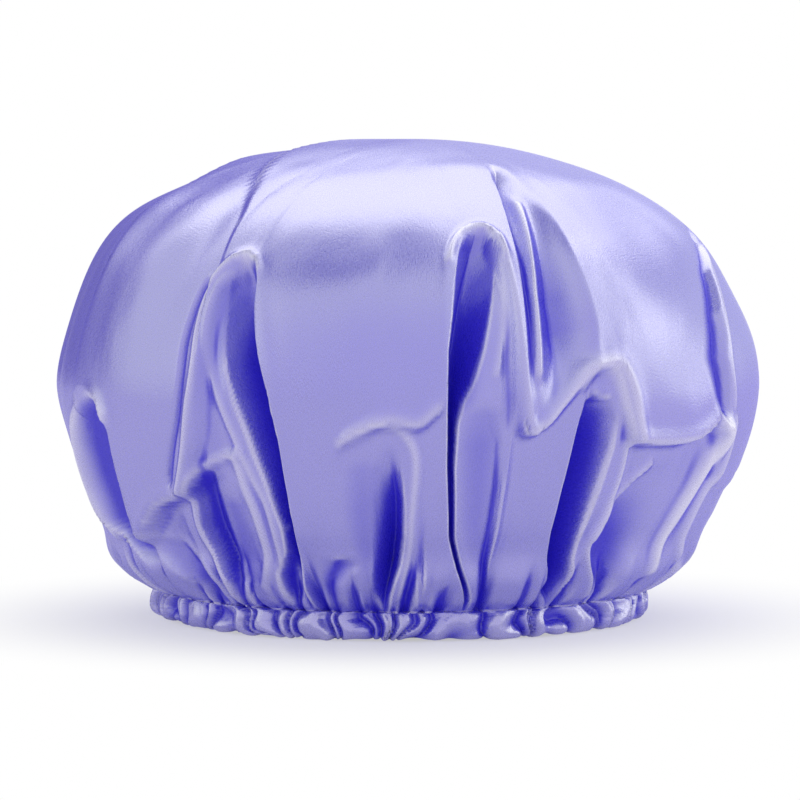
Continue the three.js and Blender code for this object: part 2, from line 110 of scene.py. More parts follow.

# A fold is a list of stations from its top to the hem: how far along the cloth from the crown's middle, 0,
# to the seam, 1; its azimuth in degrees from the front; its reach to the left and right in degrees; and its
# depth in millimetres. Before them come its crispness, left and right, which is -1 where the cloth sinks
# softly, 0 where it rolls in, 1 where it breaks off straight and 2 where the hollow is broad below its edge,
# and how much painted shade it gets for each millimetre of depth. Where the depth stays under a millimetre
# and that share is large, a fold is little more than painted shade.
FRONT_FOLDS = {
    "left_teardrop": ((2.0, 1.2), 2.6, [
        (0.655, -63, 2, 2, 0), (0.67, -62, 6, 4, 3), (0.70, -60.4, 9.6, 3.4, 7),
        (0.74, -59.4, 12, 2.2, 11), (0.79, -59.2, 12.4, 1.6, 12), (0.85, -60.0, 9.6, 1.6, 11),
        (0.885, -58.8, 6, 1.6, 6), (0.915, -57.5, 4, 1.4, 2), (0.95, -56, 3, 1, 0),
    ]),
    "left_tall": ((1.1, 0.9), 1.15, [
        (0.466, -29.0, 1.6, 1.6, 0), (0.478, -29.0, 2.6, 2.0, 3), (0.50, -28.4, 4.0, 1.8, 6),
        (0.53, -27.5, 4.8, 1.4, 10), (0.56, -26.5, 5.2, 1.2, 13), (0.60, -25.2, 5.8, 1.2, 17),
        (0.65, -23.2, 6.0, 1.2, 19), (0.71, -21.7, 4.6, 1.2, 18), (0.78, -20.9, 2.7, 1.1, 14),
        (0.84, -20.3, 1.5, 1, 10), (0.88, -20.4, 1.6, 1.2, 9), (0.92, -20.6, 3.6, 1.4, 10),
        (0.96, -20.6, 3.6, 1.4, 8), (1.0, -19, 1.5, 1, 0),
    ]),
    "left_cup": ((0.9, 0.8), 1.1, [
        (0.752, -32, 2, 2, 0), (0.767, -35, 2, 4, 2.4), (0.787, -37.6, 1.8, 7, 4.8),
        (0.812, -39.0, 1.5, 9.5, 6.8), (0.85, -40, 1.5, 12.5, 8.5), (0.88, -39.4, 1.5, 12, 9),
        (0.905, -38.2, 1.5, 11.5, 9), (0.94, -36.4, 1.5, 9.5, 7.5), (0.97, -36.4, 1.5, 6, 4),
        (1.0, -37, 1, 2, 0),
    ]),
    # Painted shade over the floor of the left cup; its depth is under a millimetre
    "left_cup_painted_shade": ((1.0, 1.8), 13.0, [
        (0.785, -31, 4, 3, 0), (0.81, -32, 5, 5, 0.6), (0.88, -32, 5, 7, 0.66), (0.94, -31, 5, 6, 0.6),
        (0.98, -31, 4, 4, 0.3), (1.0, -31, 2, 2, 0),
    ]),
    # Painted shade over the broad panel low on the left; its depth is under a millimetre
    "left_broad_painted_shade": ((1.8, 1.8), 13.0, [
        (0.845, -51, 3, 3, 0), (0.87, -52, 6, 4.4, 0.42), (0.90, -50.4, 7, 4.6, 0.56),
        (0.94, -47, 5.4, 3.4, 0.6), (0.975, -44.6, 4, 2.6, 0.5), (1.0, -43, 2, 1.4, 0),
    ]),
    # Painted shade inside the top of the tall left hollow; its depth is under a millimetre
    "left_tall_top_painted_shade": ((1.8, 1.8), 15.0, [
        (0.47, -29.6, 1.4, 1.4, 0), (0.482, -30.0, 3.0, 2.4, 0.5), (0.51, -30.8, 4.2, 3.6, 0.6),
        (0.56, -32.0, 3.6, 3.6, 0.5), (0.62, -33.4, 2.4, 3.0, 0.42), (0.68, -33.6, 3.0, 3.4, 0.36),
        (0.73, -33.6, 4.8, 4.4, 0.34), (0.77, -35, 5, 5, 0.24), (0.79, -37, 3, 4, 0),
    ]),
    # Painted shade inside the top of the tall middle hollow; its depth is under a millimetre
    "middle_tall_top_painted_shade": ((1.9, 1.9), 15.0, [
        (0.406, 12.2, 2.2, 2.6, 0), (0.416, 11.9, 3.2, 4.0, 0.5), (0.45, 11.4, 3.6, 4.6, 0.55),
        (0.52, 10.6, 3.2, 4.2, 0.55), (0.60, 9.0, 2.6, 4.0, 0.5), (0.66, 8.4, 2.0, 3.0, 0.45),
        (0.70, 8, 1, 2, 0),
    ]),
    # Painted shade in the hollow beside the right tube; its depth is under a millimetre
    "right_tube_painted_shade": ((1.8, 1.8), 15.0, [
        (0.655, 12, 3, 3, 0), (0.675, 12, 4.6, 4.4, 0.4), (0.72, 12, 5, 4.4, 0.52),
        (0.83, 12.6, 4, 3.6, 0.46), (0.90, 14.4, 3, 2.4, 0.3), (0.95, 15.6, 2, 2, 0),
    ]),
    # Painted shade inside the top of the tall right hollow; its depth is under a millimetre
    "right_tall_top_painted_shade": ((1.4, 1.4), 15.0, [
        (0.618, 32, 1.4, 1.4, 0), (0.63, 32, 2.6, 3.0, 0.36), (0.66, 31.6, 3.0, 5.0, 0.4),
        (0.72, 33.0, 3.0, 5.4, 0.36), (0.80, 33.4, 3, 5, 0.3), (0.84, 34, 3, 3, 0),
    ]),
    "left_broad": ((0.9, 1.0), 2.6, [
        (0.826, -47, 2, 2, 0), (0.845, -49, 6, 4, 1.4), (0.87, -50.5, 9, 6, 2.4),
        (0.90, -48.5, 9, 5, 3.2), (0.93, -45.6, 8, 4, 5), (0.955, -43.8, 6, 3, 7),
        (0.98, -42.6, 5, 2.4, 5), (1.0, -42, 3, 1.5, 0),
    ]),
    "middle_low": ((-0.4, 0.9), 0.9, [
        (0.72, -2.6, 3, 1.6, 0), (0.76, -2.2, 5, 1.6, 3), (0.80, -1.7, 5.4, 1.6, 8),
        (0.85, -1.6, 5, 1.6, 12), (0.90, -2.2, 4.2, 1.6, 13), (0.96, -3.6, 3.2, 1.4, 9),
        (1.0, -4.2, 2, 1, 0),
    ]),
    # Painted shade in the soft pocket low in the middle; its depth is under a millimetre
    "middle_low_painted_shade": ((-1.0, 1.8), 13.0, [
        (0.72, -6.4, 5, 4, 0), (0.75, -7, 6, 5.4, 0.44), (0.81, -7.2, 6, 5.6, 0.54),
        (0.88, -6.4, 5, 4.4, 0.54), (0.93, -6.4, 4, 3, 0.36), (0.96, -6.4, 2, 2, 0),
    ]),
    "middle_tuck": ((0.5, 0.5), 3.4, [
        (0.885, -11.5, 4.5, 5, 0), (0.90, -12.0, 4.2, 5.2, 4), (0.92, -13.4, 3.2, 4.6, 4.4),
        (0.945, -14.4, 2.6, 3.4, 4.4), (0.98, -14, 2, 2.4, 3), (1.0, -14, 1.4, 1.4, 0),
    ]),
    "middle_tall": ((0.9, 1.4), 0.8, [
        (0.409, 12.4, 1.6, 2.0, 0), (0.425, 11.6, 2.4, 3.4, 3), (0.455, 10.2, 2.0, 5.0, 6),
        (0.49, 9.0, 1.5, 5.6, 10), (0.53, 8.2, 1.3, 5.4, 14), (0.59, 7.3, 1.3, 4.6, 18),
        (0.63, 7.2, 1.2, 3.2, 18), (0.66, 7.0, 0.9, 1.6, 15), (0.69, 7.0, 0.7, 0.9, 11),
        (0.75, 7.2, 0.6, 0.7, 8), (0.85, 8.4, 0.5, 0.6, 7), (0.91, 10.6, 0.5, 0.6, 6),
        (0.97, 13.2, 0.6, 0.7, 5), (1.0, 14, 0.7, 0.9, 0),
    ]),
    "left_tube_line": ((-0.5, 0.9), 1.0, [
        (0.80, 3.5, 1.0, 0.5, 0), (0.86, 3.3, 0.9, 0.5, 0.8), (0.93, 3.5, 0.8, 0.5, 1.8),
        (1.0, 3.9, 0.8, 0.7, 0),
    ]),
    "right_tube_line": ((0.2, 1.0), 1.0, [
        (0.662, 11, 2.5, 2.5, 0), (0.68, 12.6, 5, 2.2, 1.4), (0.72, 14.8, 6.4, 1.2, 2.2),
        (0.78, 15.6, 7, 1.0, 2.4), (0.83, 15.6, 6.4, 1.0, 2.4), (0.90, 15.8, 5.4, 1.0, 3),
        (0.95, 16.6, 3.4, 1.0, 3), (1.0, 17.4, 1.6, 1.0, 0),
    ]),
    "high_trough": ((-0.7, -1.0), 1.0, [
        (0.32, 27, 3, 4, 0), (0.38, 26.4, 4, 5, 3), (0.45, 25.6, 4.6, 5.6, 6.5),
        (0.51, 24.9, 4.8, 6.6, 9), (0.565, 24.7, 4.8, 7, 9), (0.60, 24.2, 4.2, 7, 6),
        (0.64, 23.4, 3.4, 6, 2.5), (0.68, 22.6, 2, 3, 0),
    ]),
    "high_trough_edge": ((0.9, -0.3), 0.8, [
        (0.25, 26.6, 2.6, 3, 0), (0.27, 25.2, 2.2, 5, 3.5), (0.30, 23.6, 1.5, 6, 5),
        (0.35, 21.8, 1.2, 6, 5), (0.40, 20.7, 1.0, 4.5, 4.4), (0.46, 20.2, 1.0, 3, 3.6),
        (0.52, 19.6, 1.0, 2, 2.8), (0.60, 19.4, 1, 1.5, 1.5), (0.65, 19.4, 1, 1.5, 0),
    ]),
    "right_tall": ((1.0, 1.2), 1.6, [
        (0.652, 31.2, 1, 1.2, 0), (0.664, 31.2, 2.0, 3.6, 6), (0.69, 31.0, 2.4, 5.0, 13),
        (0.73, 30.6, 2.4, 5.6, 18), (0.79, 30.1, 2.3, 5.2, 20), (0.85, 30.0, 2.3, 4.0, 20),
        (0.90, 30.8, 2.3, 3.2, 18), (0.95, 32.6, 2.0, 2.8, 12), (1.0, 34.5, 1.5, 1.5, 0),
    ]),
    "right_broad": ((0.9, 1.0), 2.5, [
        (0.76, 52, 4, 6, 0), (0.78, 46.5, 3, 12, 1.2), (0.81, 42, 2.4, 15, 3), (0.84, 39.8, 2.0, 16, 6),
        (0.87, 38.8, 1.9, 16, 9), (0.91, 40.0, 1.9, 13, 11), (0.95, 42.4, 1.8, 9, 8),
        (1.0, 45, 1.5, 4, 0),
    ]),
    "right_edge_line": ((0.9, 0.0), 1.3, [
        (0.69, 67, 1.4, 3, 0), (0.72, 69.6, 1.6, 3, 3), (0.77, 71.6, 1.6, 3.4, 4),
        (0.82, 70.4, 1.6, 4, 4), (0.885, 71.6, 1.6, 4, 4), (0.94, 74.6, 1.3, 3, 3), (1.0, 76, 1, 2, 0),
    ]),
    "right_rim_line": ((-0.3, 0.9), 1.6, [
        (0.40, 83, 6, 1.2, 0), (0.43, 79, 7, 1.2, 1.6), (0.48, 69, 7, 1.2, 2.6), (0.55, 63.4, 7, 1.2, 4),
        (0.61, 61.0, 8, 1.2, 4.5), (0.68, 62.2, 5, 1.2, 4), (0.71, 63, 3, 1.2, 0),
    ]),
}

# The sides and the back go on in the same manner.
ROUND_FOLDS = {
    "right_side": ((0.9, 0.0), 2.0, [
        (0.66, 84, 1.5, 3, 0), (0.70, 82, 1.6, 5, 0.8), (0.80, 82, 1.8, 6, 0.8), (0.86, 81, 1.8, 5, 2),
        (0.92, 80, 1.8, 4, 2.6), (1.0, 80, 1.5, 2, 0),
    ]),
    "right_side_low": ((0.1, 0.5), 1.0, [
        (0.74, 96, 3, 2, 0), (0.80, 96, 5, 3, 5), (0.88, 95, 4, 2.5, 9), (0.95, 94, 3, 2, 6),
        (1.0, 93, 2, 1, 0),
    ]),
    "back_right_outer": ((0.1, 0.8), 1.0, [
        (0.60, 108, 2, 2, 0), (0.66, 107.5, 6, 3, 6), (0.74, 107, 6, 2.4, 11), (0.84, 106, 5, 2, 13),
        (0.93, 104, 3.5, 2, 8), (1.0, 103, 2, 1, 0),
    ]),
    "back_right_tall": ((0.8, 0.1), 1.0, [
        (0.38, 128, 2, 2, 0), (0.43, 127.5, 2.5, 5, 6), (0.54, 126, 2.2, 7, 14), (0.66, 124.5, 2, 6, 18),
        (0.80, 124, 1.8, 4.5, 16), (0.92, 124, 1.5, 3, 10), (1.0, 124, 1, 2, 0),
    ]),
    "back_right_low": ((0.1, 0.2), 1.0, [
        (0.66, 147, 3, 3, 0), (0.72, 147, 6, 5, 5), (0.82, 146, 6, 4, 10), (0.92, 145, 4, 3, 9),
        (1.0, 144, 2, 2, 0),
    ]),
    "back_middle_tall": ((0.1, 0.9), 1.0, [
        (0.44, 168, 2, 2, 0), (0.49, 168, 5, 2, 6), (0.58, 168.5, 7, 2, 14), (0.70, 169, 6.5, 1.8, 19),
        (0.82, 169, 4, 1.5, 16), (0.93, 168, 3, 1.2, 9), (1.0, 167, 2, 1, 0),
    ]),
    "back_middle_low": ((0.1, 0.1), 1.0, [
        (0.64, 189, 3, 3, 0), (0.71, 189, 6, 6, 6), (0.82, 189, 5, 5, 11), (0.92, 189, 4, 3, 9),
        (1.0, 189, 2, 2, 0),
    ]),
    "back_left_tall": ((0.9, 0.1), 1.0, [
        (0.36, 212, 2, 2, 0), (0.41, 211.5, 2.2, 5, 6), (0.52, 210, 2, 7, 14), (0.66, 208.5, 2, 7, 19),
        (0.80, 208, 1.8, 5, 17), (0.92, 209, 1.5, 3, 10), (1.0, 210, 1, 2, 0),
    ]),
    "back_left_low": ((0.0, 0.3), 1.0, [
        (0.60, 234, 3, 3, 0), (0.67, 234, 7, 5, 6), (0.80, 233, 7, 4, 12), (0.92, 231, 4, 3, 9),
        (1.0, 230, 2, 2, 0),
    ]),
    "back_left_outer": ((0.8, 0.1), 1.0, [
        (0.46, 256, 2, 2, 0), (0.51, 255.5, 2.5, 6, 6), (0.62, 254, 2.2, 7, 13), (0.76, 253, 2, 6, 16),
        (0.90, 252, 1.8, 4, 11), (1.0, 252, 1, 2, 0),
    ]),
    "left_side": ((0.0, 0.7), 1.4, [
        (0.57, 276, 2, 2, 0), (0.63, 276.5, 6, 3, 2), (0.74, 277, 6, 2.4, 3.4), (0.86, 277, 4.5, 2, 5),
        (0.94, 277, 3, 1.6, 4), (1.0, 277, 2, 1, 0),
    ]),
}

# The lower edge of the full crown, as (azimuth, along, depth). Below it the cloth hangs back by the depth in
# millimetres, in swags between the folds.
CROWN_EDGE = [
    (-110, 0.80, 1.2), (-90, 0.80, 1), (-75, 0.82, 1), (-64, 0.88, 2), (-58.5, 0.878, 3.6),
    (-54, 0.845, 5), (-49.5, 0.818, 6), (-45.5, 0.805, 6), (-40.5, 0.79, 6), (-38, 0.758, 6),
    (-35.5, 0.70, 3.6), (-34.6, 0.62, 3), (-34.2, 0.55, 3), (-33.5, 0.505, 3), (-32, 0.475, 3),
    (-29.5, 0.465, 3), (-27.5, 0.478, 2.5), (-26, 0.52, 2), (-24, 0.595, 1.5), (-21.8, 0.65, 1),
    (-20, 0.72, 0), (-12, 0.72, 0), (-10.5, 0.712, 0.8), (-7.5, 0.70, 1.5), (-3.5, 0.682, 2.4),
    (-1, 0.685, 3), (1.5, 0.69, 3.4), (3.5, 0.675, 3.2), (5.5, 0.655, 3), (6.3, 0.60, 2.5), (7, 0.50, 2),
    (8.5, 0.45, 2), (10.5, 0.42, 2.5), (14.5, 0.41, 3), (16.3, 0.44, 4), (17, 0.505, 3.6),
    (17.2, 0.60, 4), (18, 0.677, 5), (19.5, 0.70, 6), (22, 0.69, 6), (24.5, 0.665, 5.5), (27, 0.64, 4.5),
    (29, 0.62, 3.5), (31.5, 0.61, 3), (34.5, 0.61, 3), (36.5, 0.63, 3.4), (38, 0.675, 3.8),
    (39, 0.705, 4.6), (40.5, 0.716, 5.5), (44.5, 0.72, 6), (52.5, 0.718, 6), (57.5, 0.703, 5.5),
    (59.5, 0.687, 5), (61.5, 0.692, 3.4), (64, 0.73, 2.2), (67, 0.78, 1.4), (75, 0.80, 1),
    (100, 0.76, 1.4), (120, 0.73, 1.6), (145, 0.71, 1.4), (165, 0.74, 1.4), (185, 0.71, 1.4),
    (205, 0.74, 1.4), (230, 0.71, 1.4), (250, 0.80, 1.2),
]

# Fine ridges and creases: points (along, azimuth), height in millimetres and half width in millimetres. A
# ridge also gets a painted highlight along its line, and a crease, whose height is below nought, painted
# shade.
RIDGES = {
    "left_arch": ([(0.788, -41.0), (0.734, -38.2), (0.666, -36.2), (0.616, -35.4), (0.558, -35.6),
                   (0.52, -35.4), (0.49, -34.2), (0.47, -32.6), (0.462, -30.4), (0.468, -28.2),
                   (0.484, -27.0)], 1.5, 1.3),
    "left_inner_arch": ([(0.90, -23.0), (0.844, -23.4), (0.80, -24.2), (0.77, -25.8), (0.734, -27.6),
                         (0.69, -29.8), (0.644, -32.0), (0.60, -33.4), (0.56, -34.0), (0.52, -33.8),
                         (0.496, -32.6), (0.482, -30.6)], 1.2, 1.4),
    "left_thin_crease": ([(0.50, -37.0), (0.53, -37.6), (0.58, -38.0), (0.63, -38.0), (0.68, -38.8),
                          (0.73, -41), (0.775, -43)], -1.8, 1.2),
    "left_arm": ([(0.870, -60), (0.867, -55), (0.874, -50), (0.893, -46), (0.92, -43), (0.955, -40.8),
                  (0.98, -40)], 0.8, 2.2),
    "cup_rim": ([(0.734, -28.5), (0.742, -32.5), (0.758, -36.6), (0.785, -39.8), (0.82, -41.4),
                 (0.86, -41.8), (0.90, -40.4), (0.94, -38.4), (0.98, -38)], 1.3, 1.6),
    "cup_right_tube": ([(0.74, -29), (0.778, -28), (0.828, -26.5), (0.888, -26), (0.95, -27.6)], 1.4, 2.4),
    "teardrop_rim": ([(0.87, -69), (0.81, -72), (0.75, -72), (0.70, -69.5), (0.672, -64), (0.668, -59.5),
                      (0.69, -57)], 2.0, 2.6),
    "middle_low_tube": ([(0.712, -10.5), (0.694, -8), (0.688, -5), (0.694, -2), (0.716, 0.6), (0.75, 1.6),
                         (0.82, 1.2), (0.88, 1.0), (0.96, -0.2)], 1.2, 1.6),
    "middle_swag": ([(0.705, -9), (0.682, -3.5), (0.687, 1.5), (0.668, 4.5)], 1.0, 2.2),
    "middle_arch": ([(0.46, 6.6), (0.43, 7.8), (0.412, 9.8), (0.402, 12.4), (0.404, 14.6), (0.424, 16.6),
                     (0.45, 17.0)], 1.5, 1.5),
    "middle_arch_right": ([(0.424, 16.6), (0.47, 17.2), (0.55, 17.4), (0.62, 18), (0.675, 19),
                           (0.70, 20.2)], 0.8, 1.5),
    "middle_inner_ridge": ([(0.43, 15.6), (0.50, 15.8), (0.56, 15.2), (0.62, 13.8)], 0.8, 1.6),
    "middle_right_swag": ([(0.70, 19.5), (0.688, 22), (0.665, 24.5), (0.64, 27), (0.62, 29), (0.61, 32),
                           (0.613, 34.8), (0.64, 36.8), (0.68, 38.2), (0.712, 39.6)], 1.5, 2.4),
    "right_shelf": ([(0.715, 40), (0.72, 46), (0.718, 52.5), (0.703, 57.5), (0.688, 59.8)], 1.1, 2.6),
    "trough_ridge": ([(0.338, 25), (0.41, 23.4), (0.468, 22), (0.53, 21), (0.62, 20.4)], 1.4, 1.8),
    "right_inner_arch": ([(0.642, 28.5), (0.618, 31), (0.624, 34.5), (0.672, 36.6), (0.718, 38.6),
                          (0.764, 39.6), (0.81, 38.8), (0.87, 36.8), (0.908, 38), (0.97, 42)], 1.6, 1.7),
    "right_broad_rim": ([(0.76, 47), (0.792, 42.5), (0.822, 39), (0.86, 36.8)], 1.2, 1.5),
    "right_edge_ridge": ([(0.70, 62.5), (0.716, 64), (0.754, 62.8), (0.808, 60.8), (0.876, 59), (0.94, 59)],
                         2.6, 3.2),
    "right_edge_band": ([(0.70, 66), (0.76, 67), (0.82, 65), (0.89, 65.4), (0.95, 70)], 1.4, 3.0),
    "right_outer_ridge": ([(0.44, 77), (0.48, 71.4), (0.547, 65.8), (0.613, 63.4), (0.677, 64.6)], 1.0, 1.8),
}

# Long creases of the full crown, where the cloth steps up to the right: points (along, azimuth), the height
# of the step, how wide it is and how far it reaches, in millimetres.
STEPS_UP = {
    "crown_crease": ([(0.12, -80), (0.19, -66), (0.25, -54), (0.315, -44), (0.378, -38), (0.43, -36),
                      (0.482, -35)], 1.5, 3.4, 30.0),
    "left_streak": ([(0.26, -88), (0.36, -76), (0.44, -70), (0.56, -68), (0.66, -68)], 1.3, 6.0, 16.0),
}

# Lines that the net's columns follow from the crown to the hem, so that a broken edge stays clean: each as
# the column's own azimuth and its path of (along, azimuth).
GUIDES = [
    (-180, [(0.0, -180), (1.0, -180)]),
    (-74, [(0.0, -74), (1.0, -74)]),
    (-58, [(0.66, -58), (0.78, -57), (0.84, -58), (0.90, -57.5), (1.0, -57)]),
    (-40, [(0.48, -35.5), (0.56, -37.2), (0.64, -37.4), (0.72, -39.6), (0.79, -41.6), (0.85, -41.8),
           (0.905, -41.6), (0.94, -41.2), (1.0, -42)]),
    (-22, [(0.45, -27.3), (0.49, -27), (0.53, -25.9), (0.58, -24.4), (0.64, -21.9), (0.71, -20.5),
           (0.78, -19.8), (0.86, -19.4), (0.93, -18.5), (1.0, -17.5)]),
    (-6, [(0.0, -6), (1.0, -6)]),
    (8, [(0.41, 10), (0.43, 8.9), (0.47, 7.8), (0.53, 6.9), (0.59, 6.3), (0.64, 6.3), (0.68, 6.6),
        (0.75, 7.3), (0.85, 8.4), (0.95, 11.6), (1.0, 12.4)]),
    (19, [(0.26, 24), (0.285, 22.3), (0.32, 21.4), (0.37, 20.1), (0.42, 19.7), (0.47, 18.6), (0.60, 17.8),
          (0.7, 19), (1.0, 21)]),
    (28, [(0.58, 30), (0.64, 29.4), (0.68, 28.6), (0.73, 28.2), (0.79, 27.8), (0.85, 27.7), (0.91, 28.8),
          (0.95, 30.6), (1.0, 33)]),
    (39, [(0.55, 37), (0.62, 36.4), (0.68, 38.2), (0.72, 40.5), (0.79, 41.5), (0.84, 38), (0.87, 36.8),
          (0.91, 38.2), (0.95, 41), (1.0, 44)]),
    (70, [(0.42, 80), (0.48, 71.4), (0.547, 65.8), (0.613, 63.4), (0.677, 65), (0.72, 68), (0.77, 70),
          (0.82, 69), (0.885, 70), (0.94, 73.4), (1.0, 75)]),
    (92, [(0.0, 92), (1.0, 92)]),
    (180, [(0.0, 180), (1.0, 180)]),
]

# Broad, shallow waves of the full crown: (along, azimuth, reach along, reach round in degrees, depth in
# millimetres).
CROWN_WAVES = [
    (0.448, -16, 0.030, 9, 0.15), (0.435, -3, 0.036, 8, 0.2), (0.42, -92, 0.10, 48, -5.0),
    (0.24, -92, 0.08, 40, -2.0), (0.66, -92, 0.06, 20, -1.6), (0.52, 92, 0.07, 26, 2.2),
    (0.74, 92, 0.10, 26, -1.6), (0.91, 92, 0.06, 40, -1.8), (0.91, -92, 0.06, 40, -1.8),
    (0.30, 50, 0.05, 16, -1.8), (0.24, 18, 0.035, 20, -1.0), (0.53, -64, 0.16, 7, 1.6),
    (0.48, -44, 0.16, 5, 1.6), (0.60, -84, 0.20, 8, 1.5), (0.46, 52, 0.14, 9, 1.4),
    (0.60, 50, 0.10, 10, -0.8), (0.70, 50, 0.045, 11, -1.6), (0.62, -12, 0.09, 7, -0.8),
    (0.22, -20, 0.06, 30, 0.7), (0.20, 60, 0.06, 26, 0.7), (0.40, 100, 0.16, 10, 1.2),
    (0.30, 150, 0.10, 14, 1.0), (0.34, 190, 0.14, 10, 1.2), (0.30, 240, 0.12, 12, 1.0),
    (0.45, 280, 0.16, 9, 1.2),
]

# The casing's outline across the strip, in millimetres out from the elastic's middle line and up from the
# table: where the cloth stands full between two pinches, and where the elastic has pinched it.
CASING_FULL = [(4.6, 10.2), (6.0, 9.7), (6.9, 8.2), (7.6, 5.4), (7.0, 2.2), (3.8, 0.2), (-0.6, 0.1),
               (-3.6, 2.6), (-3.4, 6.0), (0.2, 8.4), (3.2, 9.2)]
CASING_PINCHED = [(0.6, 9.8), (1.1, 9.0), (1.0, 7.2), (0.8, 4.8), (0.8, 2.6), (0.3, 1.5), (-0.9, 1.5),
                  (-1.5, 4.4), (-1.6, 7.4), (-1.5, 8.8), (-1.3, 8.8)]


def smoothstep(low, high, value):
    """Nought at low and one at high, with a soft start and end."""
    share = np.clip((value - low) / (high - low), 0.0, 1.0)
    return share * share * (3.0 - 2.0 * share)


def hill(value):
    """One at nought, falling away softly on either side."""
    return np.exp(-(value ** 2))


def turn_between(start, end):
    """The angle in degrees from start to end by the shorter way round."""
    return (end - start + 180.0) % 360.0 - 180.0


def bezier(points, steps):
    """Points along a cubic curve."""
    start, first, second, end = (np.array(point, float) for point in points)
    t = np.linspace(0.0, 1.0, steps)[:, None]
    s = 1.0 - t
    return s**3 * start + 3 * s**2 * t * first + 3 * s * t**2 * second + t**3 * end


def smooth_path(corners, steps):
    """Points along a smooth curve through the corners."""
    corners = np.array(corners, float)
    padded = np.concatenate([[2 * corners[0] - corners[1]], corners, [2 * corners[-1] - corners[-2]]])
    place = np.linspace(0.0, len(corners) - 1, steps)
    index = np.minimum(place.astype(int), len(corners) - 2)
    t = (place - index)[:, None]
    before, start, end, after = (padded[index + shift] for shift in range(4))
    return 0.5 * (2 * start + (end - before) * t + (2 * before - 5 * start + 4 * end - after) * t**2
                  + (3 * start - before - 3 * end + after) * t**3)


class Meridian:
    """The crown's outline from its middle to the seam, by share of its length."""

    # How far each curve's handles reach, as a share of the run between the curve's ends
    CROWN_HANDLE, SHOULDER_HANDLE, BELLY_HANDLE, HEM_HANDLE = 0.42, 0.72, 0.25, 0.5
    STEPS = 500

    # How far to each side, as a share, the outline's direction is taken
    SPAN = 0.004

    def __init__(self, size):
        radius = size.width / 2
        drop = size.widest_height - size.seam_height
        rise = size.height - size.widest_height
        waist = size.seam_radius + self.HEM_HANDLE * (radius - size.seam_radius)
        crown = bezier(
            [(0, size.height), (self.CROWN_HANDLE * radius, size.height),
             (radius, size.widest_height + self.SHOULDER_HANDLE * rise), (radius, size.widest_height)],
            self.STEPS)
        belly = bezier(
            [(radius, size.widest_height), (radius, size.widest_height - self.BELLY_HANDLE * drop),
             (waist, size.seam_height), (size.seam_radius, size.seam_height)], self.STEPS)
        self.points = np.concatenate([crown, belly[1:]])
        steps = np.linalg.norm(np.diff(self.points, axis=0), axis=1)
        self.shares = np.concatenate([[0.0], np.cumsum(steps)])
        self.length = self.shares[-1]
        self.shares /= self.length

    def sides(self, along):
        """The radius and the height."""
        return [np.interp(along, self.shares, self.points[:, side]) for side in (0, 1)]

    def at(self, along):
        """Radius, height and the outward normal's two parts."""
        ahead = self.sides(np.minimum(along + self.SPAN, 1.0))
        behind = self.sides(np.maximum(along - self.SPAN, 0.0))
        out, down = ahead[0] - behind[0], ahead[1] - behind[1]
        length = np.hypot(out, down)
        return (*self.sides(along), -down / length, out / length)


# Ways that a fold can start at its edge, as its crispness, with the powers that draw two of them
SOFT, ROLLED, BROKEN, BROAD = -1, 0, 1, 2
ROLLED_POWER, BROKEN_POWER = 1.8, 1.1


def well(across, crisp):
    """How deep a fold is across its reach, which is one."""
    share = np.clip(across, 0.0, 1.0)
    profiles = (
        (SOFT, (1.0 - share ** 2) ** 2),
        (ROLLED, (1.0 - share) ** ROLLED_POWER),
        (BROKEN, 1.0 - share ** BROKEN_POWER),
        (BROAD, 1.0 - share ** 3),
    )
    return sum(np.maximum(1.0 - np.abs(crisp - place), 0.0) * profile for place, profile in profiles)


def fold_depth(fold, azimuth, along):
    """A fold's depth in millimetres at each azimuth and share of the way down."""
    (crisp_left, crisp_right), _, stations = fold
    table = np.array(stations, float)
    place, left, right, depth = (np.interp(along, table[:, 0], column) for column in table.T[1:])
    depth = np.where(along < table[0, 0], 0.0, depth)
    turn = turn_between(place, azimuth)
    across = np.where(turn < 0, -turn / left, turn / right)
    crisp = np.where(turn < 0, crisp_left, crisp_right)
    return depth * well(across, crisp)


# How many points a smooth path has for each of its corners
STEPS_PER_CORNER = 4


def distance_to_path(path, x, y, scale, far):
    """The least distance from points to a path, up to far. The scale puts the path in the points' units."""
    corners = smooth_path(path, STEPS_PER_CORNER * len(path)) * scale
    near = (x > corners[:, 0].min() - far) & (x < corners[:, 0].max() + far)
    near &= (y > corners[:, 1].min() - far) & (y < corners[:, 1].max() + far)
    x, y = x[near], y[near]
    nearest = np.full(x.shape, float(far))
    for (x0, y0), (x1, y1) in zip(corners, corners[1:]):
        dx, dy = x1 - x0, y1 - y0
        share = np.clip(((x - x0) * dx + (y - y0) * dy) / (dx * dx + dy * dy), 0.0, 1.0)
        nearest = np.minimum(nearest, np.hypot(x - x0 - share * dx, y - y0 - share * dy))
    distance = np.full(near.shape, float(far))
    distance[near] = nearest
    return distance


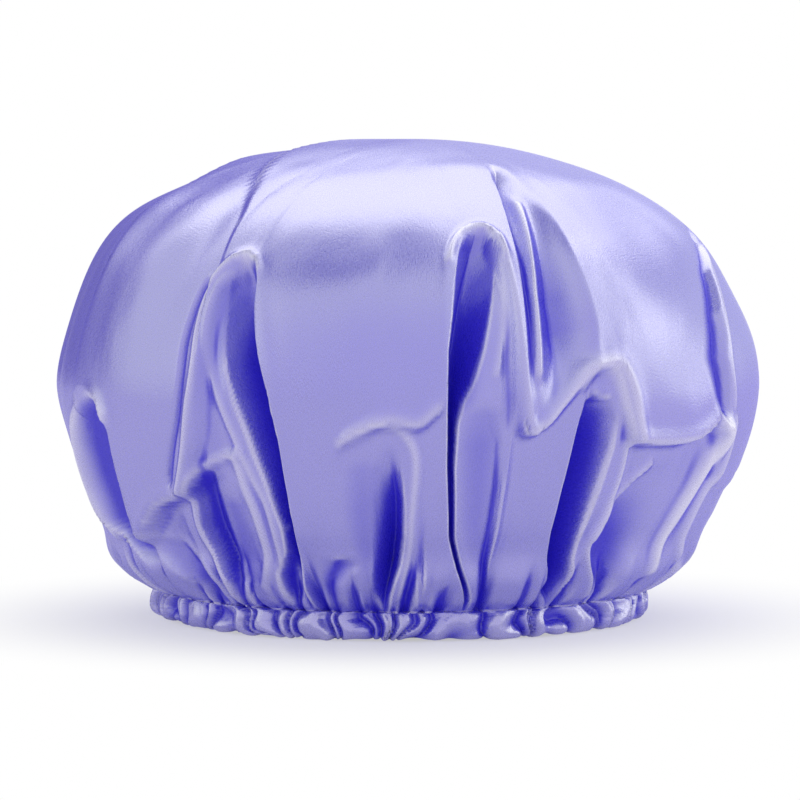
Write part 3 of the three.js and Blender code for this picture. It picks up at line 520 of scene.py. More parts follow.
class Hem:
    """The small gathers round the hem, which the crown, the casing and the stitches share."""

    # Bounds between which chance picks each gather's share of the round, fullness and skew, its pleat's top
    # and strength, and its crease's place and depth; and the width of a crease
    GAPS, FULLNESSES, SKEWS = (0.45, 1.6), (0.62, 1.0), (-0.4, 0.4)
    CLIMBS, STRENGTHS = (0.82, 0.95), (0.35, 1.0)
    CREASES, CREASE_DEPTHS, CREASE_WIDTH = (0.25, 0.75), (0.0, 0.7), 0.09

    # How round a puff is, the gap in degrees from which it is a whole one, and the least share of one
    ROUNDING, WHOLE_GAP, LEAST_PUFF = 0.55, 6.0, 0.5

    # Waves by which the gathers lean: their size in degrees, how many go round and where they start; and how
    # many times as far they lean at the casing's inner lip
    LEANS = ((1.6, 5, 1.0), (1.2, 13, 0.4), (1.1, 31, 2.0))
    CASING_LEAN = 4.0

    # A wave that wrings the casing: its size in degrees, how fast it goes across and round, and its start
    CURL, CURL_ACROSS, CURL_ROUND, CURL_START = 0.8, 16.0, 7.0, (0.0, 0.12)

    # A pleat's reach in degrees, where it has its full depth, that depth in millimetres, and its width in
    # degrees with what its strength adds
    PLEAT_REACH, PLEAT_FOOT, PLEAT_DEPTH, PLEAT_WIDTH, PLEAT_SPREAD = 6.0, 0.99, 7.0, 0.7, 0.6

    OUTLINE_STEPS = 240

    def __init__(self, size):
        chance = np.random.default_rng(size.seed)

        def pick(bounds):
            return chance.uniform(*bounds, size.gathers)

        gaps = pick(self.GAPS)
        self.pinches = np.cumsum(gaps) / gaps.sum() * 360.0
        self.fullness = pick(self.FULLNESSES)
        self.skews = np.exp(pick(self.SKEWS))
        self.climbs = pick(self.CLIMBS)
        self.strengths = pick(self.STRENGTHS)
        self.creases = pick(self.CREASES)
        self.crease_depths = pick(self.CREASE_DEPTHS)
        self.radius = (ELASTIC_HIGH.x - ELASTIC_LOW.x) / 2 - HALF_ELASTIC
        self.full = smooth_path(CASING_FULL, self.OUTLINE_STEPS)
        self.pinched = smooth_path(CASING_PINCHED, self.OUTLINE_STEPS)

    def puff(self, azimuth):
        """How full the cloth is at each azimuth: nought in a pinch, and up to one between two."""
        turn = (azimuth - self.pinches[-1]) % 360.0
        starts = np.concatenate([[0.0], (self.pinches[:-1] - self.pinches[-1]) % 360.0])
        ends = np.append(starts[1:], 360.0)
        index = np.clip(np.searchsorted(starts, turn, side="right") - 1, 0, len(starts) - 1)
        gap = ends[index] - starts[index]
        share = np.clip((turn - starts[index]) / gap, 0.0, 1.0)
        whole = np.clip(gap / self.WHOLE_GAP, self.LEAST_PUFF, 1.0)
        crease = self.crease_depths[index] * hill((share - self.creases[index]) / self.CREASE_WIDTH)
        arch = np.sin(np.pi * share ** self.skews[index]) ** self.ROUNDING
        return self.fullness[index] * whole * arch * (1.0 - crease)

    def leaning(self, azimuth, reach):
        """The azimuth of the gather that a point belongs to, since the gathers lean this way and that."""
        angle = np.radians(azimuth)
        return azimuth + reach * sum(
            size * np.sin(waves * angle + start) for size, waves, start in self.LEANS)

    def pleats(self, azimuth, along):
        """How deep in millimetres the narrow valleys are that climb the crown from the pinches."""
        total = np.zeros(azimuth.shape)
        for place, strength, top in zip(self.pinches, self.strengths, self.climbs):
            turn = np.abs(turn_between(place, azimuth))
            near = turn < self.PLEAT_REACH
            fade = smoothstep(top, self.PLEAT_FOOT, along[near])
            wide = (self.PLEAT_WIDTH + self.PLEAT_SPREAD * strength) * (2.0 - fade)
            deep = self.PLEAT_DEPTH * strength * fade * hill(turn[near] / wide)
            total[near] = np.maximum(total[near], deep)
        return total

    def casing(self, azimuth, share):
        """Points of the ruffled casing, from its outer lip, share 0, under the foot to its inner lip, 1."""
        wrung = np.sin(self.CURL_ACROSS * share + self.CURL_ROUND * np.radians(azimuth))
        curl = self.CURL * wrung * smoothstep(*self.CURL_START, share)
        puff = self.puff(self.leaning(azimuth, self.CASING_LEAN * share) + curl)
        places = np.linspace(0.0, 1.0, len(self.full))
        out, up = (np.interp(share, places, self.pinched[:, side]) * (1.0 - puff)
                   + np.interp(share, places, self.full[:, side]) * puff for side in (0, 1))
        return self.placed(azimuth, self.radius + out * MM, np.maximum(up, 0.0) * MM), puff

    def placed(self, azimuth, radius, height):
        """Points at a radius and a height round the hem's middle."""
        angle = np.radians(azimuth)
        x, y = radius * np.sin(angle) + HEM_CENTRE.x, -radius * np.cos(angle) + HEM_CENTRE.y
        return np.stack([x, y, height], axis=1)


class Crown:
    """The form of the gathered cloth. Its spans are shares of the way down, and its depths millimetres."""

    # Below the full crown's edge: how far off it is sought and the distances over which the cloth hangs back,
    # the lip above the edge, as a share of the drop, with its distance, and how the drop fades at the hem
    EDGE_FAR, DROP_SPAN = 30.0, (-0.6, 4.2)
    LIP, LIP_PLACE = 0.12, 2.2
    DROP_FADE, DROP_FADE_SPAN = 0.6, (0.88, 1.0)

    # How many reaches off a ridge and a step end, the height of a ridge at which its painted highlight is
    # whole, and how fast that painted highlight fades from its line
    RIDGE_FAR, STEP_FAR, TIGHT_HEIGHT, TIGHT_POWER = 4, 3, 1.6, 1.5

    # How much painted shade a crease and a pleat get, as so many times their depth, how much a pinch gets, as
    # a depth in millimetres, and between what fullnesses and how far down it is one
    CREASE_SHADE, PLEAT_SHADE, PINCH_SHADE = 5.0, 1.5, 14.0
    PINCH_PUFFS, PINCH_SPAN = (0.1, 0.5), (0.955, 0.99)

    # How far the gathers lean up the crown, and how far they puff out
    GATHER_LEAN, PUFF_OUT, PUFF_SPAN = 8.0, 2.4, (0.88, 0.97)

    # Spans over which the middle takes on its folds, folds turn level and the oval crown turns round
    MIDDLE_SPAN, LEVEL_SPAN, ROUND_SPAN = (0.0, 0.12), (0.72, 0.95), (0.75, 1.0)

    # How far the cloth hangs over the casing and is lifted there, in metres, and where that starts and ends
    OVERHANG, OVERHANG_START, OVERHANG_END = 4.0 * MM, (0.86, 0.955), (0.972, 1.0)
    LIFT, LIFT_START, LIFT_END = 3.2 * MM, (0.84, 0.95), (0.955, 1.0)

    # Where the seam catches the cloth: the span, the radius past the elastic with what a puff adds, the
    # distance of each layer from that, and how much a puff lifts it
    CAUGHT_SPAN, SEAM_OUT, SEAM_PUFF, LAYER_OUT, SEAM_LIFT = (0.965, 1.0), 0.5, 5.0, 0.6, 0.2 * MM

    def __init__(self, size):
        self.size = size
        self.meridian = Meridian(size)
        self.hem = Hem(size)
        self.scale = np.array([self.meridian.length / MM, math.radians(1.0) * size.width / 2 / MM])

    def folds(self, azimuth, along):
        """How deep the folds are, and how much painted shade they get, as a depth in millimetres."""
        hollow, shaded = np.zeros(azimuth.shape), np.zeros(azimuth.shape)
        for fold in (*FRONT_FOLDS.values(), *ROUND_FOLDS.values()):
            deep = fold_depth(fold, azimuth, along)
            hollow, shaded = np.maximum(hollow, deep), np.maximum(shaded, deep * fold[1])
        return hollow, shaded

    def drop(self, around, along, away_from):
        """How far the cloth hangs back below the edge of the full crown."""
        edge = np.array(CROWN_EDGE, float)
        line, drop = (np.interp(around, edge[:, 0], edge[:, column]) for column in (1, 2))
        away = away_from(edge[:, 1::-1], self.EDGE_FAR)
        away = np.where(along > line, away, -away)
        lip = self.LIP * hill((away + self.LIP_PLACE) / self.LIP_PLACE)
        recess = drop * (smoothstep(*self.DROP_SPAN, away) - lip)
        return recess * (1.0 - self.DROP_FADE * smoothstep(*self.DROP_FADE_SPAN, along))

    def depth(self, azimuth, along):
        """How deep the cloth is and how much painted shade it gets, in millimetres, and how much painted
        highlight.
        """
        start = CROWN_EDGE[0][0]
        around = (azimuth - start) % 360.0 + start
        x, y = along * self.scale[0], around * self.scale[1]

        def away_from(path, far):
            return distance_to_path(path, x, y, self.scale, far)

        hollow, shaded = self.folds(azimuth, along)
        total = hollow + self.drop(around, along, away_from)
        painted_highlight = np.zeros(azimuth.shape)
        # Ridges get a painted highlight along their line, and creases painted shade
        for path, height, reach in RIDGES.values():
            bulge = hill(away_from(path, self.RIDGE_FAR * reach) / reach)
            total -= height * bulge
            painted_highlight = np.maximum(painted_highlight, height / self.TIGHT_HEIGHT * bulge ** self.TIGHT_POWER)
            shaded = np.maximum(shaded, -self.CREASE_SHADE * height * bulge)
        for path, height, wide, reach in STEPS_UP.values():
            distance = away_from(path, self.STEP_FAR * reach)
            right = np.where(around > np.interp(along, *np.array(path).T), distance, -distance)
            total -= height * smoothstep(-wide / 2, wide / 2, right) * hill(distance / reach)
        for place, turned, reach_along, reach_round, depth in CROWN_WAVES:
            turn = turn_between(turned, azimuth)
            total += depth * np.exp(-(((along - place) / reach_along) ** 2) - (turn / reach_round) ** 2)
        leaning = self.hem.leaning(azimuth, self.GATHER_LEAN * (along - 1.0))
        pleats, puff = self.hem.pleats(leaning, along), self.hem.puff(leaning)
        total += pleats - self.PUFF_OUT * puff * smoothstep(*self.PUFF_SPAN, along)
        # Painted shade in the pinches just above the seam, and in the pleats
        pinch = self.PINCH_SHADE * (1.0 - smoothstep(*self.PINCH_PUFFS, puff))
        pinch *= smoothstep(*self.PINCH_SPAN, along)
        shaded = np.maximum(shaded, np.maximum(pleats * self.PLEAT_SHADE, pinch))
        return total * smoothstep(*self.MIDDLE_SPAN, along), shaded, painted_highlight

    def points(self, azimuth, along, inset=0.0):
        """The place of each point of a layer that lies an inset inside the satin, its depth, and its painted
        shade and painted highlight.
        """
        size = self.size
        radius, height, out, up = self.meridian.at(along)
        level = smoothstep(*self.LEVEL_SPAN, along)
        out, up = out * (1.0 - level) + level, up * (1.0 - level)
        depth, shaded, painted_highlight = self.depth(azimuth, along)
        if inset:
            for turn in (-CLEAR_TURN, CLEAR_TURN):
                depth = np.maximum(depth, self.depth(azimuth + turn, along)[0])
        depth = depth * MM + inset
        overhang = (self.OVERHANG * smoothstep(*self.OVERHANG_START, along)
                    * (1.0 - smoothstep(*self.OVERHANG_END, along)))
        lift = self.LIFT * smoothstep(*self.LIFT_START, along) * (1.0 - smoothstep(*self.LIFT_END, along))
        radius = radius - out * depth + overhang
        height = height - up * depth
        flatten = 1.0 + (size.depth / size.width - 1.0) * (1.0 - smoothstep(*self.ROUND_SPAN, along))
        lean = size.lean * (height - size.seam_height) / (size.height - size.seam_height)
        puff = self.hem.puff(azimuth)
        layer = -self.LAYER_OUT if inset else self.LAYER_OUT
        seam_radius = self.hem.radius + (self.SEAM_OUT + self.SEAM_PUFF * puff + layer) * MM
        seam_height = size.seam_height + self.SEAM_LIFT * puff
        caught = smoothstep(*self.CAUGHT_SPAN, along)
        radius = radius * (1.0 - caught) + seam_radius * caught
        height = (height + lift) * (1.0 - caught) + seam_height * caught
        points = self.hem.placed(azimuth, radius, height)
        points[:, 0] += lean
        points[:, 1] = (points[:, 1] - HEM_CENTRE.y) * flatten + HEM_CENTRE.y
        return points, depth / MM, shaded, painted_highlight


def net(columns, rows):
    """A bmesh grid with its shares across and up, which its UV map keeps."""
    mesh = bmesh.new()
    mesh.loops.layers.uv.new("cloth")
    bmesh.ops.create_grid(mesh, x_segments=columns, y_segments=rows, size=0.5, calc_uvs=True)
    shares = np.array([(vert.co.x + 0.5, vert.co.y + 0.5) for vert in mesh.verts])
    return mesh, shares


def bend(depth, axis, near):
    """How much deeper each point of the net lies than those near it on either side."""
    return depth - (np.roll(depth, near, axis=axis) + np.roll(depth, -near, axis=axis)) / 2


def shape(mesh, points, kept):
    """Puts the net's points in place, and keeps what its material reads of each."""
    layers = [(mesh.verts.layers.float.new(name), values) for name, values in kept.items()]
    for index, (vert, point) in enumerate(zip(mesh.verts, points)):
        vert.co = point
        for layer, values in layers:
            vert[layer] = values[index]


def finished(mesh, name):
    """An object made of a bmesh, smooth, at the origin."""
    data = bpy.data.meshes.new(name)
    mesh.to_mesh(data)
    mesh.free()
    data.shade_smooth()
    piece = bpy.data.objects.new(name, data)
    bpy.context.scene.collection.objects.link(piece)
    return piece


def closed(mesh, name):
    """An object made of a net whose edges meet, with its seam merged."""
    bmesh.ops.remove_doubles(mesh, verts=mesh.verts, dist=MERGE_DISTANCE)
    bmesh.ops.recalc_face_normals(mesh, faces=mesh.faces)
    return finished(mesh, name)


def cloth_rows(share):
    """How far along the cloth a share up the net lies, with most rows below the crown's shoulder."""
    return np.interp(share, [0.0, SHOULDER_ROW, 1.0], [1.0, SHOULDER_ALONG, 0.0])


def column_azimuths():
    """Shares across the net with their azimuths, close together where the cloth folds most."""
    azimuths = np.linspace(-180.0, 180.0, COLUMN_STEPS)
    crowd = SIDE_CROWD + FRONT_CROWD * np.cos(np.radians(azimuths))
    for place, _ in GUIDES[1:-1]:
        crowd += GUIDE_CROWD * hill((azimuths - place) / GUIDE_REACH)
    shares = np.concatenate([[0.0], np.cumsum((crowd[1:] + crowd[:-1]) / 2)])
    return shares / shares[-1], azimuths


def cloth_azimuth(share, along):
    """The azimuth of each point of the net, whose columns follow the guides."""
    column = np.interp(share, *column_azimuths())
    places = np.array([place for place, _ in GUIDES], float)
    index = np.clip(np.searchsorted(places, column, side="right") - 1, 0, len(places) - 2)
    paths = np.stack([np.interp(along, *np.array(path, float).T) for _, path in GUIDES])
    each = np.arange(len(column))
    start, end = paths[index, each], paths[index + 1, each]
    return start + (end - start) * (column - places[index]) / (places[index + 1] - places[index])


def lay_cloth(piece, place):
    """Turns the net's shares into metres on the cloth before it was gathered."""
    layer = piece.data.uv_layers["cloth"].data
    shares = np.empty(len(layer) * 2)
    layer.foreach_get("uv", shares)
    shares = shares.reshape(-1, 2)
    layer.foreach_set("uv", np.stack(place(shares[:, 0], shares[:, 1]), axis=1).ravel())


def crown_layer(form, name, size, inset, tuck):
    """One layer of the crown, from its middle down to its edge tucked in the casing."""
    columns, rows = size
    mesh, shares = net(columns, rows)
    tuck_share = TUCK_ROWS / rows
    along = cloth_rows(np.clip((shares[:, 1] - tuck_share) / (1.0 - tuck_share), 0.0, 1.0))
    points, depth, shaded, painted_highlight = form.points(cloth_azimuth(shares[:, 0], along), along, inset)
    tucked = np.clip(1.0 - shares[:, 1] / tuck_share, 0.0, 1.0)
    points[:, 2] -= tucked * tuck
    points[:, :2] -= (points[:, :2] - HEM_CENTRE.xy) * (tucked * TUCK_SHRINK)[:, None]
    depth = depth.reshape(-1, columns + 1)
    # Marks that the satin reads: painted shade in valleys and deep folds, and a painted highlight on sharp
    # edges and ridges, except where there is painted shade
    valley = smoothstep(*VALLEY_DEPTHS, bend(depth, 1, columns // VALLEY_PART)).ravel()
    rim = np.maximum(-bend(depth, 1, columns // EDGE_PART), -bend(depth, 0, 1))
    edge = smoothstep(*EDGE_DEPTHS, rim).ravel()
    painted_fold_shade = np.maximum(smoothstep(*FOLD_DEPTHS, shaded), valley)
    shape(mesh, points, {"fold": painted_fold_shade, "edge": np.maximum(edge, painted_highlight) * (1.0 - painted_fold_shade)})
    piece = closed(mesh, name)

    def flat(across, up):
        turn = 2.0 * np.pi * across
        reach = form.meridian.length * cloth_rows(up)
        return reach * np.sin(turn), reach * np.cos(turn)

    lay_cloth(piece, flat)
    return piece


def casing_strip(hem, name, size):
    """The ruffled strip that wraps the elastic."""
    mesh, shares = net(*size)
    points, puff = hem.casing(shares[:, 0] * 360.0, shares[:, 1])
    # Marks that the satin reads: a painted highlight on the full lobes, and painted shade in the pinches
    painted_highlight = smoothstep(*CASING_EDGES, puff) * smoothstep(*CASING_EDGE_START, shares[:, 1]) * CASING_EDGE_SHARE
    shape(mesh, points, {"fold": 1.0 - smoothstep(*CASING_FOLDS, puff), "edge": painted_highlight})
    piece = closed(mesh, name)
    lay_cloth(piece, lambda across, up: (across * CASING_CUT[0], up * CASING_CUT[1]))
    return piece


def stitch_row(hem, name, share, count):
    """A row of short stitches that lie on the casing and dip into it at their ends."""
    mesh = bmesh.new()
    step = 360.0 / count
    for index in range(count):
        made = bmesh.ops.create_uvsphere(
            mesh, u_segments=STITCH_SEGMENTS, v_segments=STITCH_RINGS, radius=1.0)["verts"]
        local = np.array([vert.co for vert in made])
        across = np.full(len(made), share)
        azimuth = step * (index + 0.5) + local[:, 2] * step * STITCH_REACH
        centre = hem.casing(azimuth, across)[0]
        along = hem.casing(azimuth + NEXT_TURN, across)[0] - centre
        down = hem.casing(azimuth, across + NEXT_SHARE)[0] - centre
        out_of = np.cross(down, along)
        out_of /= np.linalg.norm(out_of, axis=1)[:, None]
        down /= np.linalg.norm(down, axis=1)[:, None]
        rise = local[:, 1:2] * STITCH_FLATNESS + STITCH_RISE
        points = centre + (local[:, 0:1] * down + rise * out_of) * THREAD_RADIUS
        for vert, point in zip(made, points):
            vert.co = point
    bmesh.ops.recalc_face_normals(mesh, faces=mesh.faces)
    return finished(mesh, name)


class Value:
    """A number that varies over a surface. Sums on it add Math nodes."""

    def __init__(self, nodes, socket):
        self.nodes, self.socket = nodes, socket

    def maths(self, operation, other):
        return self.nodes.add("ShaderNodeMath", {"operation": operation}, {0: self, 1: other})

    def __add__(self, other):
        return self.maths("ADD", other)

    def __mul__(self, other):
        return self.maths("MULTIPLY", other)

    __radd__, __rmul__ = __add__, __mul__

    def between(self, low, high):
        """The value stretched so that nought becomes low and one becomes high."""
        return self * (high - low) + low


# Sockets of a Mix node for colours, which share their names with others
MIX_FACTOR, MIX_FIRST, MIX_SECOND, MIX_RESULT = 0, 6, 7, 2


class Nodes:
    """The nodes of a material or a world, added one by one."""

    def __init__(self, owner, end):
        owner.use_nodes = True
        self.owner, self.tree = owner, owner.node_tree
        self.end = self.tree.nodes[end]

    @classmethod
    def material(cls, name):
        """The nodes of a new material."""
        return cls(bpy.data.materials.new(name), "Material Output")

    def link(self, source, socket):
        if isinstance(source, Value):
            self.tree.links.new(source.socket, socket)
        else:
            socket.default_value = source

    def add(self, kind, settings=None, inputs=None, output=0):
        node = self.tree.nodes.new(kind)
        for name, value in (settings or {}).items():
            setattr(node, name, value)
        for name, value in (inputs or {}).items():
            self.link(value, node.inputs[name])
        return Value(self, node.outputs[output])

    def place(self):
        """Places on the object, in metres."""
        return self.add("ShaderNodeTexCoord", output="Object")

    def kept(self, name):
        """What each point of the mesh keeps under a name, from nought to one."""
        return self.add("ShaderNodeAttribute", {"attribute_name": name}, output="Fac")

    def noise(self, place, scale, detail=2.0):
        """Noise of a given number of bumps to the metre, over a place on the cloth or the object."""
        return self.add("ShaderNodeTexNoise", None, {"Vector": place, "Scale": scale, "Detail": detail})

    def stretched(self, place, scale):
        return self.add("ShaderNodeMapping", None, {"Vector": place, "Scale": scale})

    def vector(self, operation, *values):
        """The number that vector maths gives."""
        return self.add("ShaderNodeVectorMath", {"operation": operation}, dict(enumerate(values)), "Value")

    def ramp(self, value, start, end, low=0.0, high=1.0):
        """A soft change from low, where the value is start, to high, where it is end."""
        return self.add("ShaderNodeMapRange", {"interpolation_type": "SMOOTHSTEP"}, {
            "Value": value, "From Min": start, "From Max": end, "To Min": low, "To Max": high})

    def mix(self, factor, first, second):
        inputs = {MIX_FACTOR: factor, MIX_FIRST: first, MIX_SECOND: second}
        return self.add("ShaderNodeMix", {"data_type": "RGBA"}, inputs, MIX_RESULT)

    def mix_shader(self, factor, first, second):
        return self.add("ShaderNodeMixShader", None, dict(enumerate((factor, first, second))))

    def rays(self, *names):
        """One for a ray of any of these kinds."""
        return sum(self.add("ShaderNodeLightPath", output=name) for name in names)

    def bump(self, height, distance, strength, normal=None):
        inputs = {"Height": height, "Distance": distance, "Strength": strength}
        if normal:
            inputs["Normal"] = normal
        return self.add("ShaderNodeBump", None, inputs)

    def surface(self, sockets):
        """The material's own shader."""
        shader = self.tree.nodes["Principled BSDF"]
        for name, value in sockets.items():
            self.link(value, shader.inputs[name])
        return Value(self, shader.outputs["BSDF"])

    def finish(self, shader):
        """The material or world, made with a shader."""
        self.link(shader, self.end.inputs[0])
        return self.owner


# Satin's grain and speckle, in bumps to the metre, the grain across the warp and along it; the slub's scale
# as a share of the grain's; and the shares of the three in its mottle
GRAIN_ACROSS, GRAIN_ALONG, SPECKLE, SLUB = 1500.0, 420.0, 1700.0, 0.05
GRAIN_SHARE, SPECKLE_SHARE, SLUB_SHARE = 0.5, 0.35, 0.15

# How satin shines, between and on its threads and in the painted shade of its folds, and how much of the
# painted highlight of an edge and of the painted shade of a fold is mixed in
SATIN_ROUGHNESS, FOLD_ROUGHNESS, SATIN_IOR = (0.20, 0.36), 0.5, 4.4
HIGHLIGHT_PAINT_SHARE, SHADE_PAINT_SHARE = 0.68, 0.88

# The waves of each satin in bumps to the metre and how high they rise
CROWN_CLOTH = {"waves": 24.0, "rise": 0.0016}
CASING_CLOTH = {"waves": 300.0, "rise": 0.0006}

# In bumps to the metre, the creases of the film, the ribs and picks of the elastic and the twists of the
# thread; and the darkest colour of each, for the thread as a share of its own colour
FILM_CREASES, RIBS, PICKS, TWISTS = 90.0, 260.0, 2600.0, 2800.0
FILM_DEEP, ELASTIC_DEEP, THREAD_DEEP = (0.70, 0.70, 0.78, 1), (0.70, 0.69, 0.64, 1), 0.6


def satin(name, colours, across_warp, waves, rise):
    """Glossy satin: long floats of warp with a fine, uneven grain."""
    nodes = Nodes.material(name)
    cloth = nodes.add("ShaderNodeUVMap", {"uv_map": "cloth"})
    warp = (GRAIN_ACROSS, GRAIN_ALONG, 1.0) if across_warp else (GRAIN_ALONG, GRAIN_ACROSS, 1.0)
    grain = nodes.noise(nodes.stretched(cloth, warp), 1.0, detail=3.0)
    speckle = nodes.noise(cloth, SPECKLE, detail=1.0)
    slub = nodes.noise(nodes.stretched(cloth, tuple(value * SLUB for value in warp)), 1.0)
    mottle = grain * GRAIN_SHARE + speckle * SPECKLE_SHARE + slub * SLUB_SHARE
    colour = nodes.mix(mottle, tuple(colours.satin_deep), tuple(colours.satin))
    # A painted highlight: the satin turns toward a pale colour where the mesh marks a sharp edge or a ridge
    colour = nodes.mix(nodes.kept("edge") * HIGHLIGHT_PAINT_SHARE, colour, tuple(colours.satin_highlight_paint))
    wavy = nodes.bump(nodes.noise(cloth, waves, detail=1.5), distance=rise, strength=1.0)
    relief = nodes.bump(mottle, distance=0.0004, strength=0.35, normal=wavy)
    # Painted shade: a darker, rougher copy of the satin, mixed in by the mesh's fold mark
    painted_fold_shade = nodes.add("ShaderNodeBsdfPrincipled", None, {
        "Base Color": tuple(colours.satin_shade_paint), "Roughness": FOLD_ROUGHNESS, "Normal": relief})
    open_satin = nodes.surface({
        "Base Color": colour,
        "IOR": SATIN_IOR,
        "Roughness": mottle.between(*SATIN_ROUGHNESS),
        "Normal": relief,
    })
    return nodes.finish(nodes.mix_shader(nodes.kept("fold") * SHADE_PAINT_SHARE, open_satin, painted_fold_shade))


def film(name, colours):
    """Thin milky film, slightly crumpled."""
    nodes = Nodes.material(name)
    creases = nodes.noise(nodes.place(), FILM_CREASES, detail=4.0)
    return nodes.finish(nodes.surface({
        "Base Color": nodes.mix(creases, FILM_DEEP, tuple(colours.film)),
        "Roughness": creases.between(0.3, 0.5),
        "Normal": nodes.bump(creases, distance=0.002, strength=0.35),
    }))


def elastic(name, colours):
    """Flat woven elastic, with ribs along it and picks across."""
    nodes = Nodes.material(name)
    place = nodes.place()
    ribs = nodes.add("ShaderNodeTexWave", {"bands_direction": "Z"}, {
        "Vector": place, "Scale": RIBS, "Distortion": 1.0})
    picks = nodes.noise(place, PICKS, detail=1.0)
    weave = ribs * 0.5 + picks * 0.5
    return nodes.finish(nodes.surface({
        "Base Color": nodes.mix(weave, ELASTIC_DEEP, tuple(colours.elastic)),
        "Roughness": weave.between(0.75, 0.85),
        "Normal": nodes.bump(weave, distance=0.0003, strength=0.5),
    }))


def thread(name, colour):
    """Twisted polyester thread."""
    nodes = Nodes.material(name)
    twist = nodes.noise(nodes.place(), TWISTS)
    deep = tuple(value * THREAD_DEEP for value in colour[:3]) + (1.0,)
    return nodes.finish(nodes.surface({
        "Base Color": nodes.mix(twist, deep, tuple(colour)),
        "Roughness": twist.between(0.35, 0.55),
        "Normal": nodes.bump(twist, distance=0.0002, strength=0.4),
    }))


def metres(name, description, default):
    """A property that holds a length."""
    return bpy.props.FloatProperty(name=name, description=description, default=default, unit="LENGTH")


def tint(name, description, default):
    """A property that holds a colour."""
    return bpy.props.FloatVectorProperty(
        name=name, description=description, default=default, subtype="COLOR", size=4)


class CapSize(bpy.types.PropertyGroup):
    """The sizes of the cap's cloth, standing on its hem."""

    width: metres("Width", "Width of the full crown", 0.230)
    depth: metres("Depth", "Depth of the full crown, front to back", 0.222)
    height: metres("Height", "Height of the crown's middle", SHELL_HIGH.z)
    widest_height: metres("Widest height", "Height at which the cap is widest", 0.078)
    lean: metres("Lean", "How far the crown leans over the hem", 0.004)
    seam_radius: metres("Seam radius", "Radius of the cloth where it enters the casing", 0.0778)
    seam_height: metres("Seam height", "Height of the seam over the table", CASING_HIGH.z)
    gathers: bpy.props.IntProperty(
        name="Gathers", description="Number of small gathers round the hem", default=54)
    stitches: bpy.props.IntProperty(
        name="Stitches", description="Number of stitches round the hem", default=196)
    seed: bpy.props.IntProperty(name="Seed", description="Picks the small gathers", default=7)


class CapColours(bpy.types.PropertyGroup):
    """The colours of the cap."""

    satin: tint("Satin", "Satin where its threads catch the light", (0.06, 0.04, 0.80, 1))
    satin_deep: tint("Deep satin", "Satin between its threads", (0.035, 0.022, 0.66, 1))
    # Painted shade: the dark satin mixed in where the mesh marks a fold, a crease or a pinch
    satin_shade_paint: tint(
        "Satin in folds", "Satin deep in a fold, where nothing bright is mirrored", (0.055, 0.034, 0.78, 1))
    # Painted highlight: the pale satin mixed in over sharp edges, ridges and the full lobes of the casing
    satin_highlight_paint: tint("Satin at edges", "Satin drawn tight over the edge of a fold", (0.80, 0.78, 1.0, 1))
    film: tint("Film", "Milky waterproof film", (0.83, 0.83, 0.90, 1))
    elastic: tint("Elastic", "Woven elastic", (0.88, 0.87, 0.82, 1))
    thread: tint("Thread", "Sewing thread", (0.15, 0.12, 0.52, 1))
    elastic_thread: tint("Elastic thread", "Thread that joins the elastic's ends", (0.85, 0.85, 0.83, 1))


def hand_in(piece, node, material):
    """Lets a piece stand for a node of the frame."""
    piece.data.materials.append(material)
    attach(piece, "root")
    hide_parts(node)


class SHOWERCAP_OT_satin(bpy.types.Operator):
    """Make the gathered satin of the crown"""

    bl_idname = "showercap.satin"
    bl_label = "Satin crown"

    def execute(self, context):
        form = Crown(context.scene.cap_size)
        crown = crown_layer(form, "satin_crown", CROWN_NET, 0.0, CROWN_TUCK)
        material = satin("lavender_satin", context.scene.cap_colours, True, **CROWN_CLOTH)
        hand_in(crown, "satin_shell", material)
        return {"FINISHED"}


class SHOWERCAP_OT_lining(bpy.types.Operator):
    """Make the waterproof film under the satin"""

    bl_idname = "showercap.lining"
    bl_label = "Waterproof lining"

    def execute(self, context):
        form = Crown(context.scene.cap_size)
        lining = crown_layer(form, "film_lining", LINING_NET, LINING_INSET, LINING_TUCK)
        hand_in(lining, "waterproof_lining", film("milky_film", context.scene.cap_colours))
        return {"FINISHED"}


class SHOWERCAP_OT_casing(bpy.types.Operator):
    """Make the ruffled casing of the elastic"""

    bl_idname = "showercap.casing"
    bl_label = "Ruffled casing"

    def execute(self, context):
        hem = Hem(context.scene.cap_size)
        casing = casing_strip(hem, "ruffled_casing", CASING_NET)
        material = satin("casing_satin", context.scene.cap_colours, False, **CASING_CLOTH)
        hand_in(casing, "hem_casing", material)
        return {"FINISHED"}


class SHOWERCAP_OT_stitches(bpy.types.Operator):
    """Sew the two rows of stitches that close the casing"""

    bl_idname = "showercap.stitches"
    bl_label = "Stitches"

    def execute(self, context):
        size = context.scene.cap_size
        hem = Hem(size)
        material = thread("sewing_thread", context.scene.cap_colours.thread)
        for name, node, share in (("outer_stitches", "outer_seam_thread", OUTER_ROW),
                                  ("inner_stitches", "inner_seam_thread", INNER_ROW)):
            hand_in(stitch_row(hem, name, share, size.stitches), node, material)
        return {"FINISHED"}


class SHOWERCAP_OT_elastic(bpy.types.Operator):
    """Finish the elastic and the zigzag that joins its ends"""

    bl_idname = "showercap.elastic"
    bl_label = "Elastic"

    def execute(self, context):
        colours = context.scene.cap_colours
        for node, material in (("elastic_band", elastic("woven_elastic", colours)),
                               ("elastic_join_thread", thread("white_thread", colours.elastic_thread))):
            slots = bpy.data.objects[node].data.materials
            slots.clear()
            slots.append(material)
        return {"FINISHED"}


# The camera looks at a target from the front and a little above, and frames this width there
CAMERA_TARGET = Vector((-0.0023, 0.0, 0.071))
CAMERA_DISTANCE, CAMERA_ELEVATION, FRAMED_WIDTH = 1.4, math.radians(3.5), 0.264
SENSOR_WIDTH = 36.0
CLIP_START, CLIP_END = 0.1, 20.0

